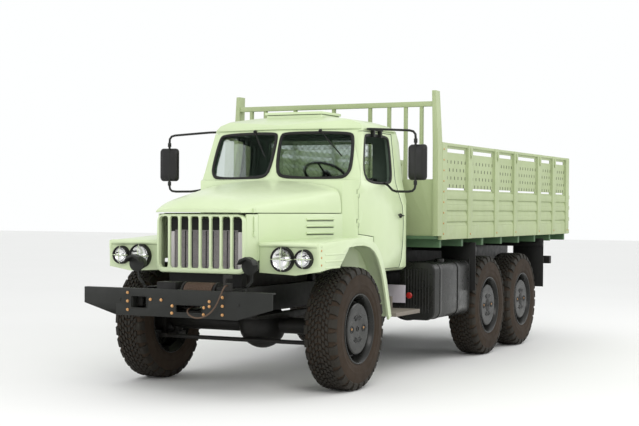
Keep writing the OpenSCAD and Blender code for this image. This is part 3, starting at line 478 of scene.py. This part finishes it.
def trim_shape():
    """What stands on the disc, dark fills of painted shade in its openings, and the nuts seen through them.
    """
    raised, holes, nuts = Shape(), Shape(), Shape()
    face = 0.1295
    for turn in (90, 270):
        a = radians(turn)
        place = move(0.128 * cos(a), 0.128 * sin(a), face)
        # A dark disc fills each round opening: painted shade where the disc is open
        holes.lathe([(0, 0.0012), (0.029, 0.0012), (0.029, -0.003)], place, 28)
        raised.lathe([(0.029, -0.002), (0.030, 0.004), (0.034, 0.005), (0.038, -0.002)], place, 28)
        nuts.bolt((0.128 * cos(a) - 0.004, 0.128 * sin(a) - 0.006, face + 0.001), (0, 0, 1), 0.010, 0.006, 6)
    # The curved slots and the two small holes at the centre are dark fills of painted shade as well
    for turn in (0, 180):
        arc_strip(holes, 0.108, 0.013, turn, 38, face - 0.002, face + 0.0015)
        arc_strip(raised, 0.126, 0.004, turn, 40, face - 0.002, face + 0.005)
        arc_strip(raised, 0.090, 0.004, turn, 34, face - 0.002, face + 0.005)
    for y in (0.022, -0.022):
        holes.lathe([(0, 0.0012), (0.010, 0.0012), (0.010, -0.002)], move(0, y, face), 16)
    raised.lathe([(0.018, 0), (0.018, 0.004), (0.024, 0.003), (0.026, -0.001)], move(0, 0, face), 24)
    for k in range(10):
        a = 2 * pi * (k + 0.5) / 10
        raised.bolt((0.190 * cos(a), 0.190 * sin(a), 0.1325), (0, 0, 1), 0.0035, 0.002, 8)
    raised.lathe([(0.006, 0), (0.006, 0.030), (0.004, 0.036), (0, 0.036)], move(0.262, 0.02, 0.05), 8)
    return raised, holes, nuts


for node, side in WHEELS.items():
    low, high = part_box(node)
    place = move((low.x + high.x) / 2, (low.y + high.y) / 2, AXLE_Z) @ Matrix.Rotation(side * pi / 2, 4, "Y")
    raised, holes, nuts = trim_shape()
    for part, shape, material, slot, stands_for in (
            ("tyre", tyre_shape(), TYRE, "tyre", (node,)), ("tread", tread_shape(), TREAD, "tyre", ()),
            ("disc", disc_shape(), GLOSSY, "black", ()), ("disc_trim", raised, GLOSSY, "black", ()),
            ("disc_openings_painted_shade", holes, RUBBER, "black", ()), ("wheel_nuts", nuts, BRASS, "steel", ())):
        shape.verts = [place @ v for v in shape.verts]
        shape.make(node + "_" + part, material, slot, node, smooth=28, stands_for=stands_for)

# ------------------------------------------------------------------ nose

NOSE_Y, PANEL_Y, GRILLE_Y = -0.930, -0.720, -0.900
NOSE_HALF, COWL_HALF, LID_BACK = 0.442, 0.780, 0.372
LID_Z, RIDGE_Z = 1.612, 1.925


def rise(y):
    return (y - NOSE_Y) / (LID_BACK - NOSE_Y)


def nose_x(y):
    return NOSE_HALF + (COWL_HALF - NOSE_HALF) * rise(y)


def lid_ring(y):
    """The bonnet's section at a station, from its right lower edge over the ridge to the left one."""
    drop = max(0.0, 1 - (y - NOSE_Y) / 0.16) ** 2
    shoulder = (0.066 + 0.160 * rise(y)) * (1 - 0.55 * drop)
    crown = (0.118 + (RIDGE_Z - LID_Z - 0.118) * rise(y) ** 0.8) * (1 - 0.62 * drop)
    x = nose_x(y)
    half = [(x, 0), (x - 0.004, shoulder * 0.45), (x - 0.020, shoulder * 0.84),
            (x - 0.060, shoulder + (crown - shoulder) * 0.12),
            (x * 0.68, shoulder + (crown - shoulder) * 0.52),
            (x * 0.38, shoulder + (crown - shoulder) * 0.86), (0, crown)]
    return [(-a, at(y), LID_Z + z) for a, z in half] + [(a, at(y), LID_Z + z) for a, z in reversed(half[:-1])]


lid = Shape()
lid_stations = [NOSE_Y, NOSE_Y + 0.008, NOSE_Y + 0.03, NOSE_Y + 0.08, NOSE_Y + 0.16, -0.60, -0.30, 0, 0.20,
                LID_BACK - 0.006, LID_BACK]
rings = [lid_ring(y) for y in lid_stations]
nose_cap = [(p[0] * 0.985, p[1] + 0.004, LID_Z) for p in rings[0]]
lid.loft([nose_cap, nose_cap, rings[0]] + rings, closed=False)
lid.make("bonnet_skin", PAINT, "paint", "bonnet", subdivide=2, thick=0.012, smooth=55, stands_for=("bonnet",))

lid_trim = Shape()
for x in (-0.2, 0.2):
    lid_trim.tube([(x - 0.034, at(0.380), 1.910), (x, at(0.380), 1.910)], 0.009)
lid_trim.make("bonnet_hinges", PAINT, "paint", "bonnet")


def rounded(half_low, half_high, low, high, r, steps=6):
    """Outline of a four-sided opening with round corners as (x, z); its width may differ low and high."""
    corners = [(half_low, low, -90), (half_high, high, 0), (-half_high, high, 90), (-half_low, low, 180)]
    points = []
    for x, z, start in corners:
        cx = x - r if x > 0 else x + r
        cz = z + r if z == low else z - r
        for k in range(steps + 1):
            a = radians(start + 90 * k / steps)
            points.append((cx + r * cos(a), cz + r * sin(a)))
    return points


SLOTS = 8
OPEN_LOW, OPEN_HIGH, OPEN_HALF = 1.117, 1.575, 0.428
grille = Shape()
outer = rounded(0.458, 0.452, 1.073, 1.598, 0.070, 8)
inner = rounded(0.430, 0.428, OPEN_LOW, OPEN_HIGH, 0.040, 8)
front, back = at(GRILLE_Y), at(GRILLE_Y) + 0.045
loops = [[(x, back, z) for x, z in outer], [(x, front + 0.012, z) for x, z in outer],
         [(x * 0.985, front, z * 0.992 + 0.011) for x, z in outer], [(x, front, z) for x, z in inner],
         [(x, back, z) for x, z in inner]]
grille.loft(loops)
pitch = 2 * OPEN_HALF / SLOTS
for i in range(1, SLOTS):
    x = -OPEN_HALF + i * pitch
    w = 0.011
    edge = [(w + 0.013, OPEN_LOW - 0.008), (w + 0.008, OPEN_LOW + 0.004), (w + 0.003, OPEN_LOW + 0.012),
            (w, OPEN_LOW + 0.026), (w, OPEN_HIGH - 0.026), (w + 0.003, OPEN_HIGH - 0.012),
            (w + 0.008, OPEN_HIGH - 0.004), (w + 0.013, OPEN_HIGH + 0.008)]
    outline = [(x + a, z) for a, z in edge] + [(x - a, z) for a, z in reversed(edge)]
    grille.prism(outline, -at(GRILLE_Y) - 0.028, -at(GRILLE_Y) + 0.002, FACE)
grille.make("grille_front", PAINT, "paint", bevel=0.005)
cheeks = Shape()
y0, y1 = GRILLE_Y + 0.040, PANEL_Y - 0.004
cheeks.prism([(nose_x(y0) - 0.002, at(y0)), (nose_x(y1) - 0.002, at(y1)), (nose_x(y1) - 0.022, at(y1)),
              (nose_x(y0) - 0.022, at(y0))], 1.100, 1.598)
cheeks.mirrored().make("grille_sides", PAINT, "paint", bevel=0.004, stands_for=("grille_shell",))
latch = Shape()
latch.tube([(nose_x(-0.78) + 0.004, at(-0.78), 1.58), (nose_x(-0.78) + 0.006, at(-0.78), 1.43)], 0.006)
latch.box((nose_x(-0.78) - 0.004, nose_x(-0.78) + 0.014), (at(-0.795), at(-0.765)), (1.61, 1.65))
latch.box((nose_x(-0.78) - 0.004, nose_x(-0.78) + 0.012), (at(-0.79), at(-0.77)), (1.40, 1.44))
latch.mirrored().make("bonnet_latches", PAINT, "paint", bevel=0.002)

low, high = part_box("radiator")
core = Shape()
FINS, TUBES = 46, 9
CORE_X, CORE_Z = (-0.315, 0.335), (1.085, 1.450)
zigzag = []
for i in range(FINS + 1):
    z = CORE_Z[0] + (CORE_Z[1] - CORE_Z[0]) * i / FINS
    zigzag += [(z, 0.0), (z + 0.004, 0.006), (z + 0.006, 0.006)]
core.loft([[(x, low.y - 0.004 + depth, z) for z, depth in zigzag] for x in CORE_X], closed=False)
core.make("radiator_fins", CORE, "steel", smooth=20, thick=0.002)
tubes = Shape()
for i in range(TUBES):
    x = CORE_X[0] + (CORE_X[1] - CORE_X[0]) * (i + 0.5) / TUBES
    tubes.box((x - 0.004, x + 0.004), (low.y - 0.006, low.y + 0.002), CORE_Z)
tubes.make("radiator_tubes", BLACK, "black", bevel=0.002)
tanks = Shape()
for x in (-0.345, 0.365):
    tanks.box((x - 0.026, x + 0.026), (low.y - 0.010, low.y + 0.012), (1.095, 1.440))
tanks.make("radiator_side_tanks", SHROUD, "steel", bevel=0.004)
paint_node("radiator", BLACK)

softened("engine_side_panels", PAINT, bevel=0.003)
louvres = Shape()
LOUVRE_Z = (1.552, 1.490, 1.425)
for z in LOUVRE_Z:
    path = [(nose_x(y) - 0.002, at(y), z + 0.004 * (y > 0)) for y in (-0.105, 0.08, 0.268)]
    louvres.tube(path, (0.012, 0.010), 8)
louvres.mirrored().make("side_louvres", PAINT, "paint")
vents = Shape()
for z in (1.538, 1.476, 1.411):
    path = [(nose_x(y) - 0.001, at(y), z) for y in (-0.10, 0.08, 0.262)]
    vents.tube(path, (0.004, 0.004), 6)
vents.mirrored().make("louvre_shadows", RUBBER, "paint")

softened("front_fenders", PAINT, bevel=0.006)
rim = Shape()
low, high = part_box("front_fenders")
rim.tube([(nose_x(-0.72) + 0.012, at(-0.716), 1.334), (0.80, at(-0.716), 1.334),
          (high.x - 0.045, at(-0.714), 1.332), (high.x - 0.014, at(-0.698), 1.330),
          (high.x - 0.006, at(-0.66), 1.332)], (0.018, 0.022), 12)
rim.mirrored().make("fender_front_lip", PAINT, "paint")
pressings = Shape()
for z, y0, y1 in ((1.250, -0.600, -0.200), (1.190, -0.595, -0.245), (1.134, -0.590, -0.300)):
    pressings.tube([(high.x + out, at(y), z) for out, y in
                    ((-0.001, y0), (0.001, y0 + 0.03), (0.001, y1 - 0.03), (-0.001, y1))], (0.004, 0.009), 8)
pressings.mirrored().make("fender_pressings", PAINT, "paint")
bolts = Shape()
for z in (1.285, 1.225, 1.160):
    bolts.bolt((high.x - 0.001, at(-0.672), z), (1, 0, 0), 0.009, 0.006, 8)
bolts.mirrored().make("fender_bolts", BRASS, "steel")

LAMPS = ((0.739, 1.207, 0.106), (0.948, 1.212, 0.080))
bezels, bowls, lenses, guards = Shape(), Shape(), Shape(), Shape()
for x, z, r in LAMPS:
    place = move(x, at(-0.712), z) @ FORWARD
    bezels.lathe([(r - 0.016, 0.030), (r - 0.010, 0.046), (r, 0.050), (r + 0.004, 0.040), (r + 0.006, 0.0),
                  (r - 0.02, 0.0)], place, 40)
    bowls.lathe([(0, 0.004), (r * 0.35, 0.007), (r * 0.7, 0.022), (r - 0.014, 0.034)], place, 40)
    bowls.lathe([(0.0, 0.036), (0.012, 0.034), (0.014, 0.010), (0.0, 0.006)], place, 16)
    lenses.lathe([(r - 0.013, 0.042), (r * 0.75, 0.052), (r * 0.4, 0.058), (0, 0.060)], place, 40)
    for a in (0, pi / 2):
        reach = r + 0.004
        guards.tube([(share * reach * cos(a), share * reach * sin(a), height) for share, height in
                     ((1, 0.045), (0.5, 0.066), (-0.5, 0.066), (-1, 0.045))], 0.0028, 6, place=place)
bezels.mirrored().make("lamp_bezels", RUBBER, "black", stands_for=("headlamps",))
bowls.mirrored().make("lamp_bowls", CHROME, "lamp")
lenses.mirrored().make("lamp_lenses", LENS, "glass")
guards.mirrored().make("lamp_guards", PAINT, "paint")
softened("blackout_lamps", BUMPER, bevel=0.003)

# ------------------------------------------------------------------ bumper and winch

# The face is one pressed sheet: columns between the edges of its two openings, rows above and below them
HOOK_HOLE, ROPE_SLOT = ((-0.447, -0.295), (0.780, 0.878)), ((0.011, 0.265), (0.757, 0.816))
BUMPER_PLATE = 0.012
BUMPER_HALF, BUMPER_LOW_HALF, BUMPER_TOP, BUMPER_END, BUMPER_LOW = 0.950, 0.613, 0.947, 0.806, 0.710
levels = (0.757, 0.780, 0.806, 0.816, 0.878)
columns = (-BUMPER_HALF, -BUMPER_LOW_HALF, *HOOK_HOLE[0], *ROPE_SLOT[0], BUMPER_LOW_HALF, BUMPER_HALF)
sheet = Shape()
for x0, x1 in zip(columns, columns[1:]):
    feet = [BUMPER_END if abs(x) > BUMPER_LOW_HALF else BUMPER_LOW for x in (x0, x1)]
    rows = [feet] + [(z, z) for z in levels if z > max(feet)] + [(BUMPER_TOP, BUMPER_TOP)]
    for low_row, high_row in zip(rows, rows[1:]):
        middle = (max(low_row) + min(high_row)) / 2
        if any(hx[0] <= x0 < hx[1] and hz[0] < middle < hz[1] for hx, hz in (HOOK_HOLE, ROPE_SLOT)):
            continue
        sheet.add([(x0, at(-FRONT_REACH), low_row[0]), (x1, at(-FRONT_REACH), low_row[1]),
                   (x1, at(-FRONT_REACH), high_row[1]), (x0, at(-FRONT_REACH), high_row[0])], [(0, 1, 2, 3)])
sheet.make("bumper_face", BUMPER, "black", bevel=0.003, thick=BUMPER_PLATE,
           stands_for=("front_bumper",))
frame_parts = Shape()
for z, half in ((BUMPER_TOP - BUMPER_PLATE, BUMPER_HALF), (BUMPER_LOW, BUMPER_LOW_HALF)):
    frame_parts.box((-half, half), (at(-FRONT_REACH) + 0.011, at(-FRONT_REACH) + 0.060),
                    (z, z + BUMPER_PLATE))
frame_parts.box((-0.440, 0.440), (at(-FRONT_REACH) + 0.059, at(-1.072)),
                (BUMPER_LOW, BUMPER_LOW + BUMPER_PLATE))
for side in (1, -1):
    frame_parts.box(sorted((side * 0.4405, side * 0.530)),
                    (at(-FRONT_REACH) + BUMPER_PLATE, at(-0.850)), (0.745, 0.915))
frame_parts.make("bumper_flanges", BUMPER, "black", bevel=0.002)
bolts = Shape()
BUMPER_BOLTS = ((-0.487, 0.908), (-0.487, 0.834), (-0.487, 0.759), (0.471, 0.897), (0.471, 0.823),
                (0.471, 0.749), (-0.250, 0.856), (-0.141, 0.855), (-0.028, 0.808), (-0.031, 0.746),
                (0.289, 0.804), (0.286, 0.744), (0.343, 0.857), (0.343, 0.816))
for x, z in BUMPER_BOLTS:
    bolts.bolt((x, at(-FRONT_REACH), z), (0, -1, 0), 0.011, 0.012, 10)
bolts.make("bumper_bolts", BRASS, "steel")
dull = Shape()
for x, z in ((-0.569, 0.847), (0.626, 0.837)):
    dull.bolt((x, at(-FRONT_REACH), z), (0, -1, 0), 0.012, 0.006, 10)
dull.make("bumper_plugs", BUMPER, "black")
lips = Shape()
for half_x, x, low_z, high_z in ((0.081, -0.371, 0.775, 0.883), (0.135, 0.138, 0.749, 0.824)):
    loop = rounded(half_x, half_x, low_z, high_z, 0.012, 3)
    lips.tube([(x + px, at(-FRONT_REACH) - 0.001, pz) for px, pz in loop], 0.0045, 6, closed=True)
lips.make("bumper_hole_lips", BUMPER, "black")

softened("winch", BLACK, bevel=0.003)
winding = Shape()
WINCH_Y, WINCH_Z, DRUM_R = 0.175 - FRONT_REACH, 0.915, 0.080
turns, per_turn = 19, 28
coil = []
for i in range(turns * per_turn + 1):
    a = 2 * pi * i / per_turn
    coil.append((0.026 + 0.0148 * i / per_turn, at(WINCH_Y) + (DRUM_R + 0.007) * cos(a),
                 WINCH_Z + (DRUM_R + 0.007) * sin(a)))
winding.tube(coil, 0.0072, 7)
winding.make("rope_winding", ROPE, "rope")
paint_node("rope_hook", IRON)
softened("tow_hooks", BLACK, bevel=0.006)

# ------------------------------------------------------------------ cab

PANE_FOOT_Y, PANE_FOOT_Z, PANE_RAKE, PANE_TURN = 0.426, 1.940, math.degrees(math.atan(0.372)), 10.5
on_pane = (move(0, at(PANE_FOOT_Y), 0) @ Matrix.Rotation(radians(PANE_TURN), 4, "Z") @ move(0, 0, PANE_FOOT_Z)
           @ Matrix.Rotation(radians(90 - PANE_RAKE), 4, "X"))


def curved(points, steps=5):
    """Rounds the corners of a closed outline of 2-D points with quadratic bends."""
    result = []
    n = len(points)
    for i in range(n):
        before, corner, after = Vector(points[i - 1]), Vector(points[i]), Vector(points[(i + 1) % n])
        a, b = (before + corner) / 2, (corner + after) / 2
        for k in range(steps):
            t = k / steps
            result.append(tuple((1 - t) ** 2 * a + 2 * t * (1 - t) * corner + t ** 2 * b))
    return result


pane = curved([(0.042, 0.064), (0.130, 0.006), (0.700, -0.002), (0.770, 0.060), (0.788, 0.150),
               (0.784, 0.430), (0.740, 0.478), (0.090, 0.480), (0.046, 0.440)])
for node, bevel in (("cab_shell", 0.010), ("cab_roof", 0.012)):
    second_finish(softened(node, PAINT, bevel=bevel, smooth=45), LINING, faces_inward)
softened("roof_hatch", PAINT, "roof_hatch", bevel=0.008)
low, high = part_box("roof_hatch")
hatch_seal = Shape()
hatch_loop = rounded(high.x - 0.012, high.x - 0.012, low.y + 0.012, high.y - 0.030, 0.04, 4)
hatch_seal.tube([(x, y, low.z + 0.006) for x, y in hatch_loop], (0.008, 0.011), 8, closed=True)
hatch_seal.make("hatch_seal", RUBBER, "rubber", "roof_hatch")
paint_node("cab_glass", GLASS)
seals = Shape()
seals.tube([(x, y, 0.002) for x, y in pane], (0.017, 0.012), 8, closed=True, place=on_pane)
rear_loop = rounded(0.568, 0.568, 1.952, 2.338, 0.05, 4)
seals.mirrored()
seals.tube([(x, at(1.622), z) for x, z in rear_loop], (0.012, 0.018), 8, closed=True)
seals.make("window_seals", RUBBER, "rubber")

gutter = Shape()
GUTTER_Z = 2.432
GUTTER_PLAN = ((0, 0.603), (0.35, 0.668), (0.70, 0.733), (0.79, 0.757), (0.829, 0.82), (0.833, 1.20),
               (0.833, 1.48), (0.81, 1.57), (0.74, 1.612), (0, 1.622))
gutter.tube([(x, at(y), GUTTER_Z) for x, y in GUTTER_PLAN], (0.013, 0.010), 8)
gutter.mirrored().make("rain_gutter", PAINT, "paint")
mesh_guard = Shape()
wires = 17
for i in range(-wires, wires):
    x = i * 1.1 / wires
    for lean in (1, -1):
        a, b = x, x + lean * 0.37
        low_x, high_x = max(-0.55, min(a, b)), min(0.55, max(a, b))
        if low_x < high_x:
            slope = 0.37 / (b - a)
            za, zb = 1.96 + slope * (low_x - a), 1.96 + slope * (high_x - a)
            mesh_guard.tube([(low_x, at(1.60), za), (high_x, at(1.60), zb)], 0.0025, 4)
mesh_guard.make("rear_window_mesh", PAINT, "paint")

wipers = Shape()
for flip, x0, y0, x1, y1 in ((False, 0.447, 0.495, 0.690, 0.225), (True, 0.338, 0.495, 0.130, 0.220)):
    pivot = FLIP @ on_pane if flip else on_pane
    low_x, low_y = x0 + (x1 - x0) * 0.32, y0 + (y1 - y0) * 0.32
    wipers.tube([(x0, y0, 0.018), (low_x, low_y, 0.026), (x1, y1, 0.020)], 0.0055, 8, place=pivot)
    wipers.tube([(low_x, low_y, 0.014), (x1, y1, 0.014)], (0.004, 0.008), 8, place=pivot)
    wipers.lathe([(0.016, 0.0), (0.016, 0.018), (0.010, 0.026), (0, 0.026)], pivot @ move(x0, y0, 0.004), 16)
wipers.make("wipers", RUBBER, "rubber")


def door_x(z):
    """The door's outer face at a height."""
    knots = ((1.065, 0.934), (1.15, 0.956), (1.33, 0.968), (1.54, 0.968), (1.69, 0.954), (1.83, 0.906),
             (1.93, 0.876), (2.44, 0.820))
    for (z0, x0), (z1, x1) in zip(knots, knots[1:]):
        if z <= z1:
            return x0 + (x1 - x0) * (z - z0) / (z1 - z0)
    return knots[-1][1]


window = curved([(0.690, 1.990), (0.760, 1.915), (1.000, 1.900), (1.290, 1.908), (1.345, 1.960),
                 (1.362, 2.100), (1.362, 2.320), (1.330, 2.375), (0.820, 2.372), (0.780, 2.340),
                 (0.700, 2.090)], 4)
handle_z = 1.585
# The mirror's tube from the roof's edge, down past the head and back to the door, as (x, station, z)
MIRROR_ARM = ((0.850, 1.16, 2.424), (0.850, 0.95, 2.424), (0.852, 0.80, 2.424), (0.90, 0.762, 2.421),
              (1.10, 0.755, 2.410), (1.31, 0.750, 2.398), (1.350, 0.750, 2.388), (1.372, 0.750, 2.362),
              (1.375, 0.750, 2.32), (1.375, 0.750, 1.88), (1.368, 0.750, 1.845), (1.345, 0.752, 1.824),
              (1.30, 0.760, 1.818), (1.15, 0.815, 1.820), (1.09, 0.87, 1.832), (0.96, 1.05, 1.886),
              (0.885, 1.14, 1.905))
for side, word in ((1, "left"), (-1, "right")):
    body = word + "_door"
    second_finish(softened(body, PAINT, body, bevel=0.006), LINING, faces_inward)
    trim = Shape()
    trim.tube([(door_x(z) - 0.004, at(y), z) for y, z in window], (0.012, 0.016), 8, closed=True)
    trim.lathe([(0.024, 0), (0.022, 0.014), (0, 0.016)], move(0.966, at(1.355), handle_z) @ ALONG_X, 16)
    trim.tube([(x, at(y), handle_z + rise_z) for x, y, rise_z in
               ((0.975, 1.375, 0), (1.000, 1.365, 0), (1.004, 1.30, 0.004), (1.000, 1.235, 0.008))],
              (0.009, 0.007), 8)
    if side < 0:
        trim.verts = [FLIP @ v for v in trim.verts]
    trim.make(word + "_door_trim", RUBBER, "rubber", body)

    mirror = Shape()
    mirror.tube([(x, at(y), z) for x, y, z in MIRROR_ARM], 0.0115, 12)
    for y in (0.95, 1.12):
        mirror.box((0.825, 0.862), (at(y - 0.016), at(y + 0.016)), (2.352, 2.438))
    for z in (2.30, 1.90):
        mirror.tube([(1.375, at(0.750), z - 0.02), (1.375, at(0.750), z + 0.02)], 0.018, 12)
    head = Shape()
    turn = move(1.387, at(0.768), 2.096) @ Matrix.Rotation(radians(-12), 4, "Z")
    outline = rounded(0.100, 0.100, -0.170, 0.170, 0.035, 5)
    rings = [[(x * s, y, z * s) for x, z in outline]
             for s, y in ((0.55, -0.030), (0.85, -0.026), (0.96, -0.014), (1.0, 0.004), (1.0, 0.018),
                          (0.93, 0.020))]
    head.loft(rings, turn, caps=True)
    glass = Shape()
    glass.loft([[(x * 0.9, y, z * 0.93) for x, z in outline] for y in (0.0195, 0.0215)], turn, caps=True)
    for shape in (mirror, head, glass):
        if side < 0:
            shape.verts = [FLIP @ v for v in shape.verts]
    mirror.make(word + "_mirror_arm", BUMPER, "black", body, bevel=0.002)
    head.make(word + "_mirror_head", PLASTIC, "black", body, smooth=50, stands_for=(word + "_mirror",))
    glass.make(word + "_mirror_glass", CHROME, "lamp", body)

for node in ("dashboard", "cab_seats"):
    softened(node, PLASTIC if node == "dashboard" else VINYL,
             bevel=0.030, smooth=60)
softened("steering_wheel", PLASTIC, "steering_wheel", bevel=0.002, smooth=60)

# ------------------------------------------------------------------ load bed

softened("headboard", PLATE_PAINT, bevel=0.006)
softened("side_boards", PLATE_PAINT, bevel=0.005)
softened("tailgate", PLATE_PAINT, "tailgate", bevel=0.005)
# its deck is deep green painted shade; below it the sills and cross beams take the black chassis paint, which
# is the beams' own black and painted shade on the green sills
FLOOR_UNDERSIDE_Z = 1.29
second_finish(softened("cargo_floor", PAINTED_SHADE_GREEN, bevel=0.003), BLACK,
              lambda face: face.center.z < FLOOR_UNDERSIDE_Z)

low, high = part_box("side_boards")
BED_Z, BED_TOP, BED_X = low.z, high.z, high.x
BED_FRONT, BED_LENGTH, POST_W = low.y, high.y - low.y, 0.140
posts = [BED_FRONT + u * (BED_LENGTH - POST_W) for u in (0, 0.171, 0.365, 0.518, 0.724, 0.864, 1)]
bands, holes, bolts, latches = Shape(), Shape(), Shape(), Shape()
PLATE_X = BED_X - 0.030
for a, b in zip(posts, posts[1:]):
    y0, y1 = a + POST_W, b
    # a ramp below each raised band, so that each recess is deepest at its top edge
    for low_z, high_z in ((0.143, 0.186), (0.249, 0.303), (0.366, 0.420)):
        bands.loft([[(PLATE_X - 0.001, y, BED_Z + low_z), (BED_X - 0.0125, y, BED_Z + low_z),
                     (PLATE_X + 0.001, y, BED_Z + high_z)] for y in (y0, y1)], caps=True)
    columns = max(3, round((y1 - y0) / 0.100))
    # the perforations are thin dark slots laid on the plate: painted shade where the boards are pierced
    for row in range(4):
        for c in range(columns):
            y = y0 + (y1 - y0) * (c + 0.5 + (0.2 if row % 2 else -0.2)) / columns
            slot = rounded(0.0075, 0.0075, -0.018, 0.018, 0.0070, 3)
            holes.prism([(y + py, BED_Z + 0.561 + 0.084 * row + pz) for py, pz in slot],
                        PLATE_X - 0.002, PLATE_X + 0.0012, SIDE)
for k in range(9):
    z = BED_Z + 0.06 + (BED_TOP - BED_Z - 0.13) * k / 8
    bolts.bolt((BED_X - 0.001, posts[0] + POST_W * 0.28, z), (1, 0, 0), 0.009, 0.008, 8)
for y in posts[1:]:
    bolts.bolt((BED_X - 0.001, y + POST_W * 0.5, BED_Z + 0.05), (1, 0, 0), 0.009, 0.008, 8)
for y in posts[1:-1]:
    latches.box((BED_X - 0.002, BED_X + 0.010), (y + 0.052, y + 0.088), (BED_TOP - 0.11, BED_TOP - 0.03))
    latches.tube([(BED_X + 0.006, y + 0.070, BED_TOP - 0.14),
                  (BED_X + 0.010, y + 0.070, BED_TOP - 0.07)], 0.006, 8)
bands.mirrored().make("board_recesses", PLATE_PAINT, "paint", smooth=30)
holes.mirrored().make("board_slots_painted_shade", RUBBER, "paint")
bolts.mirrored().make("board_bolts", BRASS, "steel")
latches.mirrored().make("board_latches", PLATE_PAINT, "paint", bevel=0.002)

# ------------------------------------------------------------------ chassis and equipment

for node, material, slot, bevel in (
        ("chassis_frame", BLACK, "black", 0.004), ("rear_axles", BLACK, "black", 0.004),
        ("front_axle", BLACK, "black", 0.004), ("leaf_springs", BLACK, "black", 0.003),
        ("driveline", IRON, "cast", 0.006), ("engine_block", IRON, "cast", 0.010),
        ("battery_box", BLACK, "black", 0.006), ("exhaust", IRON, "steel", 0.002),
        ("cab_steps", BOARD, "board", 0.004), ("rear_mudguards", RUBBER, "rubber", 0.003)):
    softened(node, material, bevel=bevel)
for side in ("left", "right"):
    softened(side + "_knuckle", BLACK, side + "_steering", bevel=0.004)
softened("fuel_tank", GLOSSY, bevel=0.004, smooth=50)
low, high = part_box("fuel_tank")
straps = Shape()
tank_low_x = high.x - 0.380
TANK_ROUND = 0.090


def tank_loop(grow):
    """Outline round the tank as (x, z), grown from its skin."""
    points = []
    for x, z, start in ((high.x - TANK_ROUND, high.z - TANK_ROUND, 0),
                        (tank_low_x + TANK_ROUND, high.z - TANK_ROUND, 90),
                        (tank_low_x + TANK_ROUND, low.z + TANK_ROUND, 180),
                        (high.x - TANK_ROUND, low.z + TANK_ROUND, 270)):
        for k in range(7):
            a = radians(start + 15 * k)
            points.append((x + (TANK_ROUND + grow) * cos(a), z + (TANK_ROUND + grow) * sin(a)))
    return points


def tank_band(sections):
    """A band round the tank through (y, grow) sections."""
    straps.loft([[(x, y, z) for x, z in tank_loop(grow)] for y, grow in sections])


for y in (at(2.02), at(2.54)):
    tank_band(((y - 0.025, 0.001), (y - 0.025, 0.006), (y + 0.025, 0.006), (y + 0.025, 0.001)))
for y in (low.y + 0.012, high.y - 0.012):
    tank_band(((y - 0.008, 0.001), (y, 0.007), (y + 0.008, 0.001)))
for k in range(9):
    x = tank_low_x + 0.06 + 0.26 * k / 8
    straps.tube([(x, low.y - 0.001, low.z + 0.07), (x, low.y - 0.003, high.z - 0.07)], (0.007, 0.005), 8)
straps.lathe([(0.050, 0), (0.050, 0.030), (0.042, 0.036), (0, 0.036)],
             move(high.x - 0.12, at(2.28), high.z - 0.004), 24)
straps.make("tank_straps", GLOSSY, "black", smooth=45)
plate = Shape()
plate.box((0.640, 0.850), (low.y - 0.040, low.y - 0.032), (0.680, 0.865))
plate.make("blank_plate", CARD, "paint", bevel=0.003)
reflector = Shape()
reflector.lathe([(0, 0.012), (0.026, 0.012), (0.032, 0.008), (0.032, 0.0)],
                move(0.895, low.y - 0.040, 0.760) @ FORWARD, 20)
reflector.make("side_reflector", RED, "plastic")

links = Shape()
links.tube([(-0.80, at(-0.205), 0.430), (0.80, at(-0.205), 0.430)], 0.020, 12)
links.make("tie_rod", BLACK, "black")
stays = Shape()
stays.tube([(1.130, at(2.99), 1.290), (1.130, at(2.83), 0.680)], 0.012, 10)
stays.mirrored().make("guard_stays", BLACK, "black")

tail = Shape()
tail.box((0.81, 0.99), (at(6.430), at(6.452)), (0.945, 1.035))
tail.mirrored().make("tail_lamps", RED, "plastic", bevel=0.008)

# ------------------------------------------------------------------ floor and light

floor_mesh = bpy.data.meshes.new("floor")
floor_mesh.from_pydata([(-60, -60, 0), (60, -60, 0), (60, 60, 0), (-60, 60, 0)], [], [(0, 1, 2, 3)])
floor = bpy.data.objects.new("floor", floor_mesh)
bpy.context.scene.collection.objects.link(floor)
ground = Nodes("pale_floor")
ground.link(ground.mix(ground.noise(0.4), (0.86, 0.86, 0.85), (0.83, 0.83, 0.82)),
            ground.shader.inputs["Base Color"])
ground.shader.inputs["Roughness"].default_value = 0.7
floor_mesh.materials.append(ground.material)

world = bpy.data.worlds.new("studio")
bpy.context.scene.world = world
world.use_nodes = True
world.node_tree.nodes["Background"].inputs["Color"].default_value = (0.99, 1.0, 1.0, 1)
world.node_tree.nodes["Background"].inputs["Strength"].default_value = 1.0


def lamp(name, place, target, size, power, colour=(1, 1, 1)):
    light = bpy.data.lights.new(name, "AREA")
    light.size = size
    light.energy = power
    light.color = colour
    item = bpy.data.objects.new(name, light)
    bpy.context.scene.collection.objects.link(item)
    item.location = place
    item.rotation_euler = (Vector(target) - Vector(place)).to_track_quat("-Z", "Y").to_euler()


lamp("key", (5.5, at(-6.5), 7.5), (0, at(1.5), 1.2), 5.0, 340, (1.0, 0.98, 0.95))
lamp("fill", (-7.0, at(-7.0), 4.0), (0, at(1.0), 1.2), 6.0, 110)
lamp("rim", (7.5, at(7.5), 6.0), (0, at(3.0), 1.5), 5.0, 200)

view = bpy.context.scene.view_settings
view.view_transform = "Standard"

bpy.context.view_layer.update()
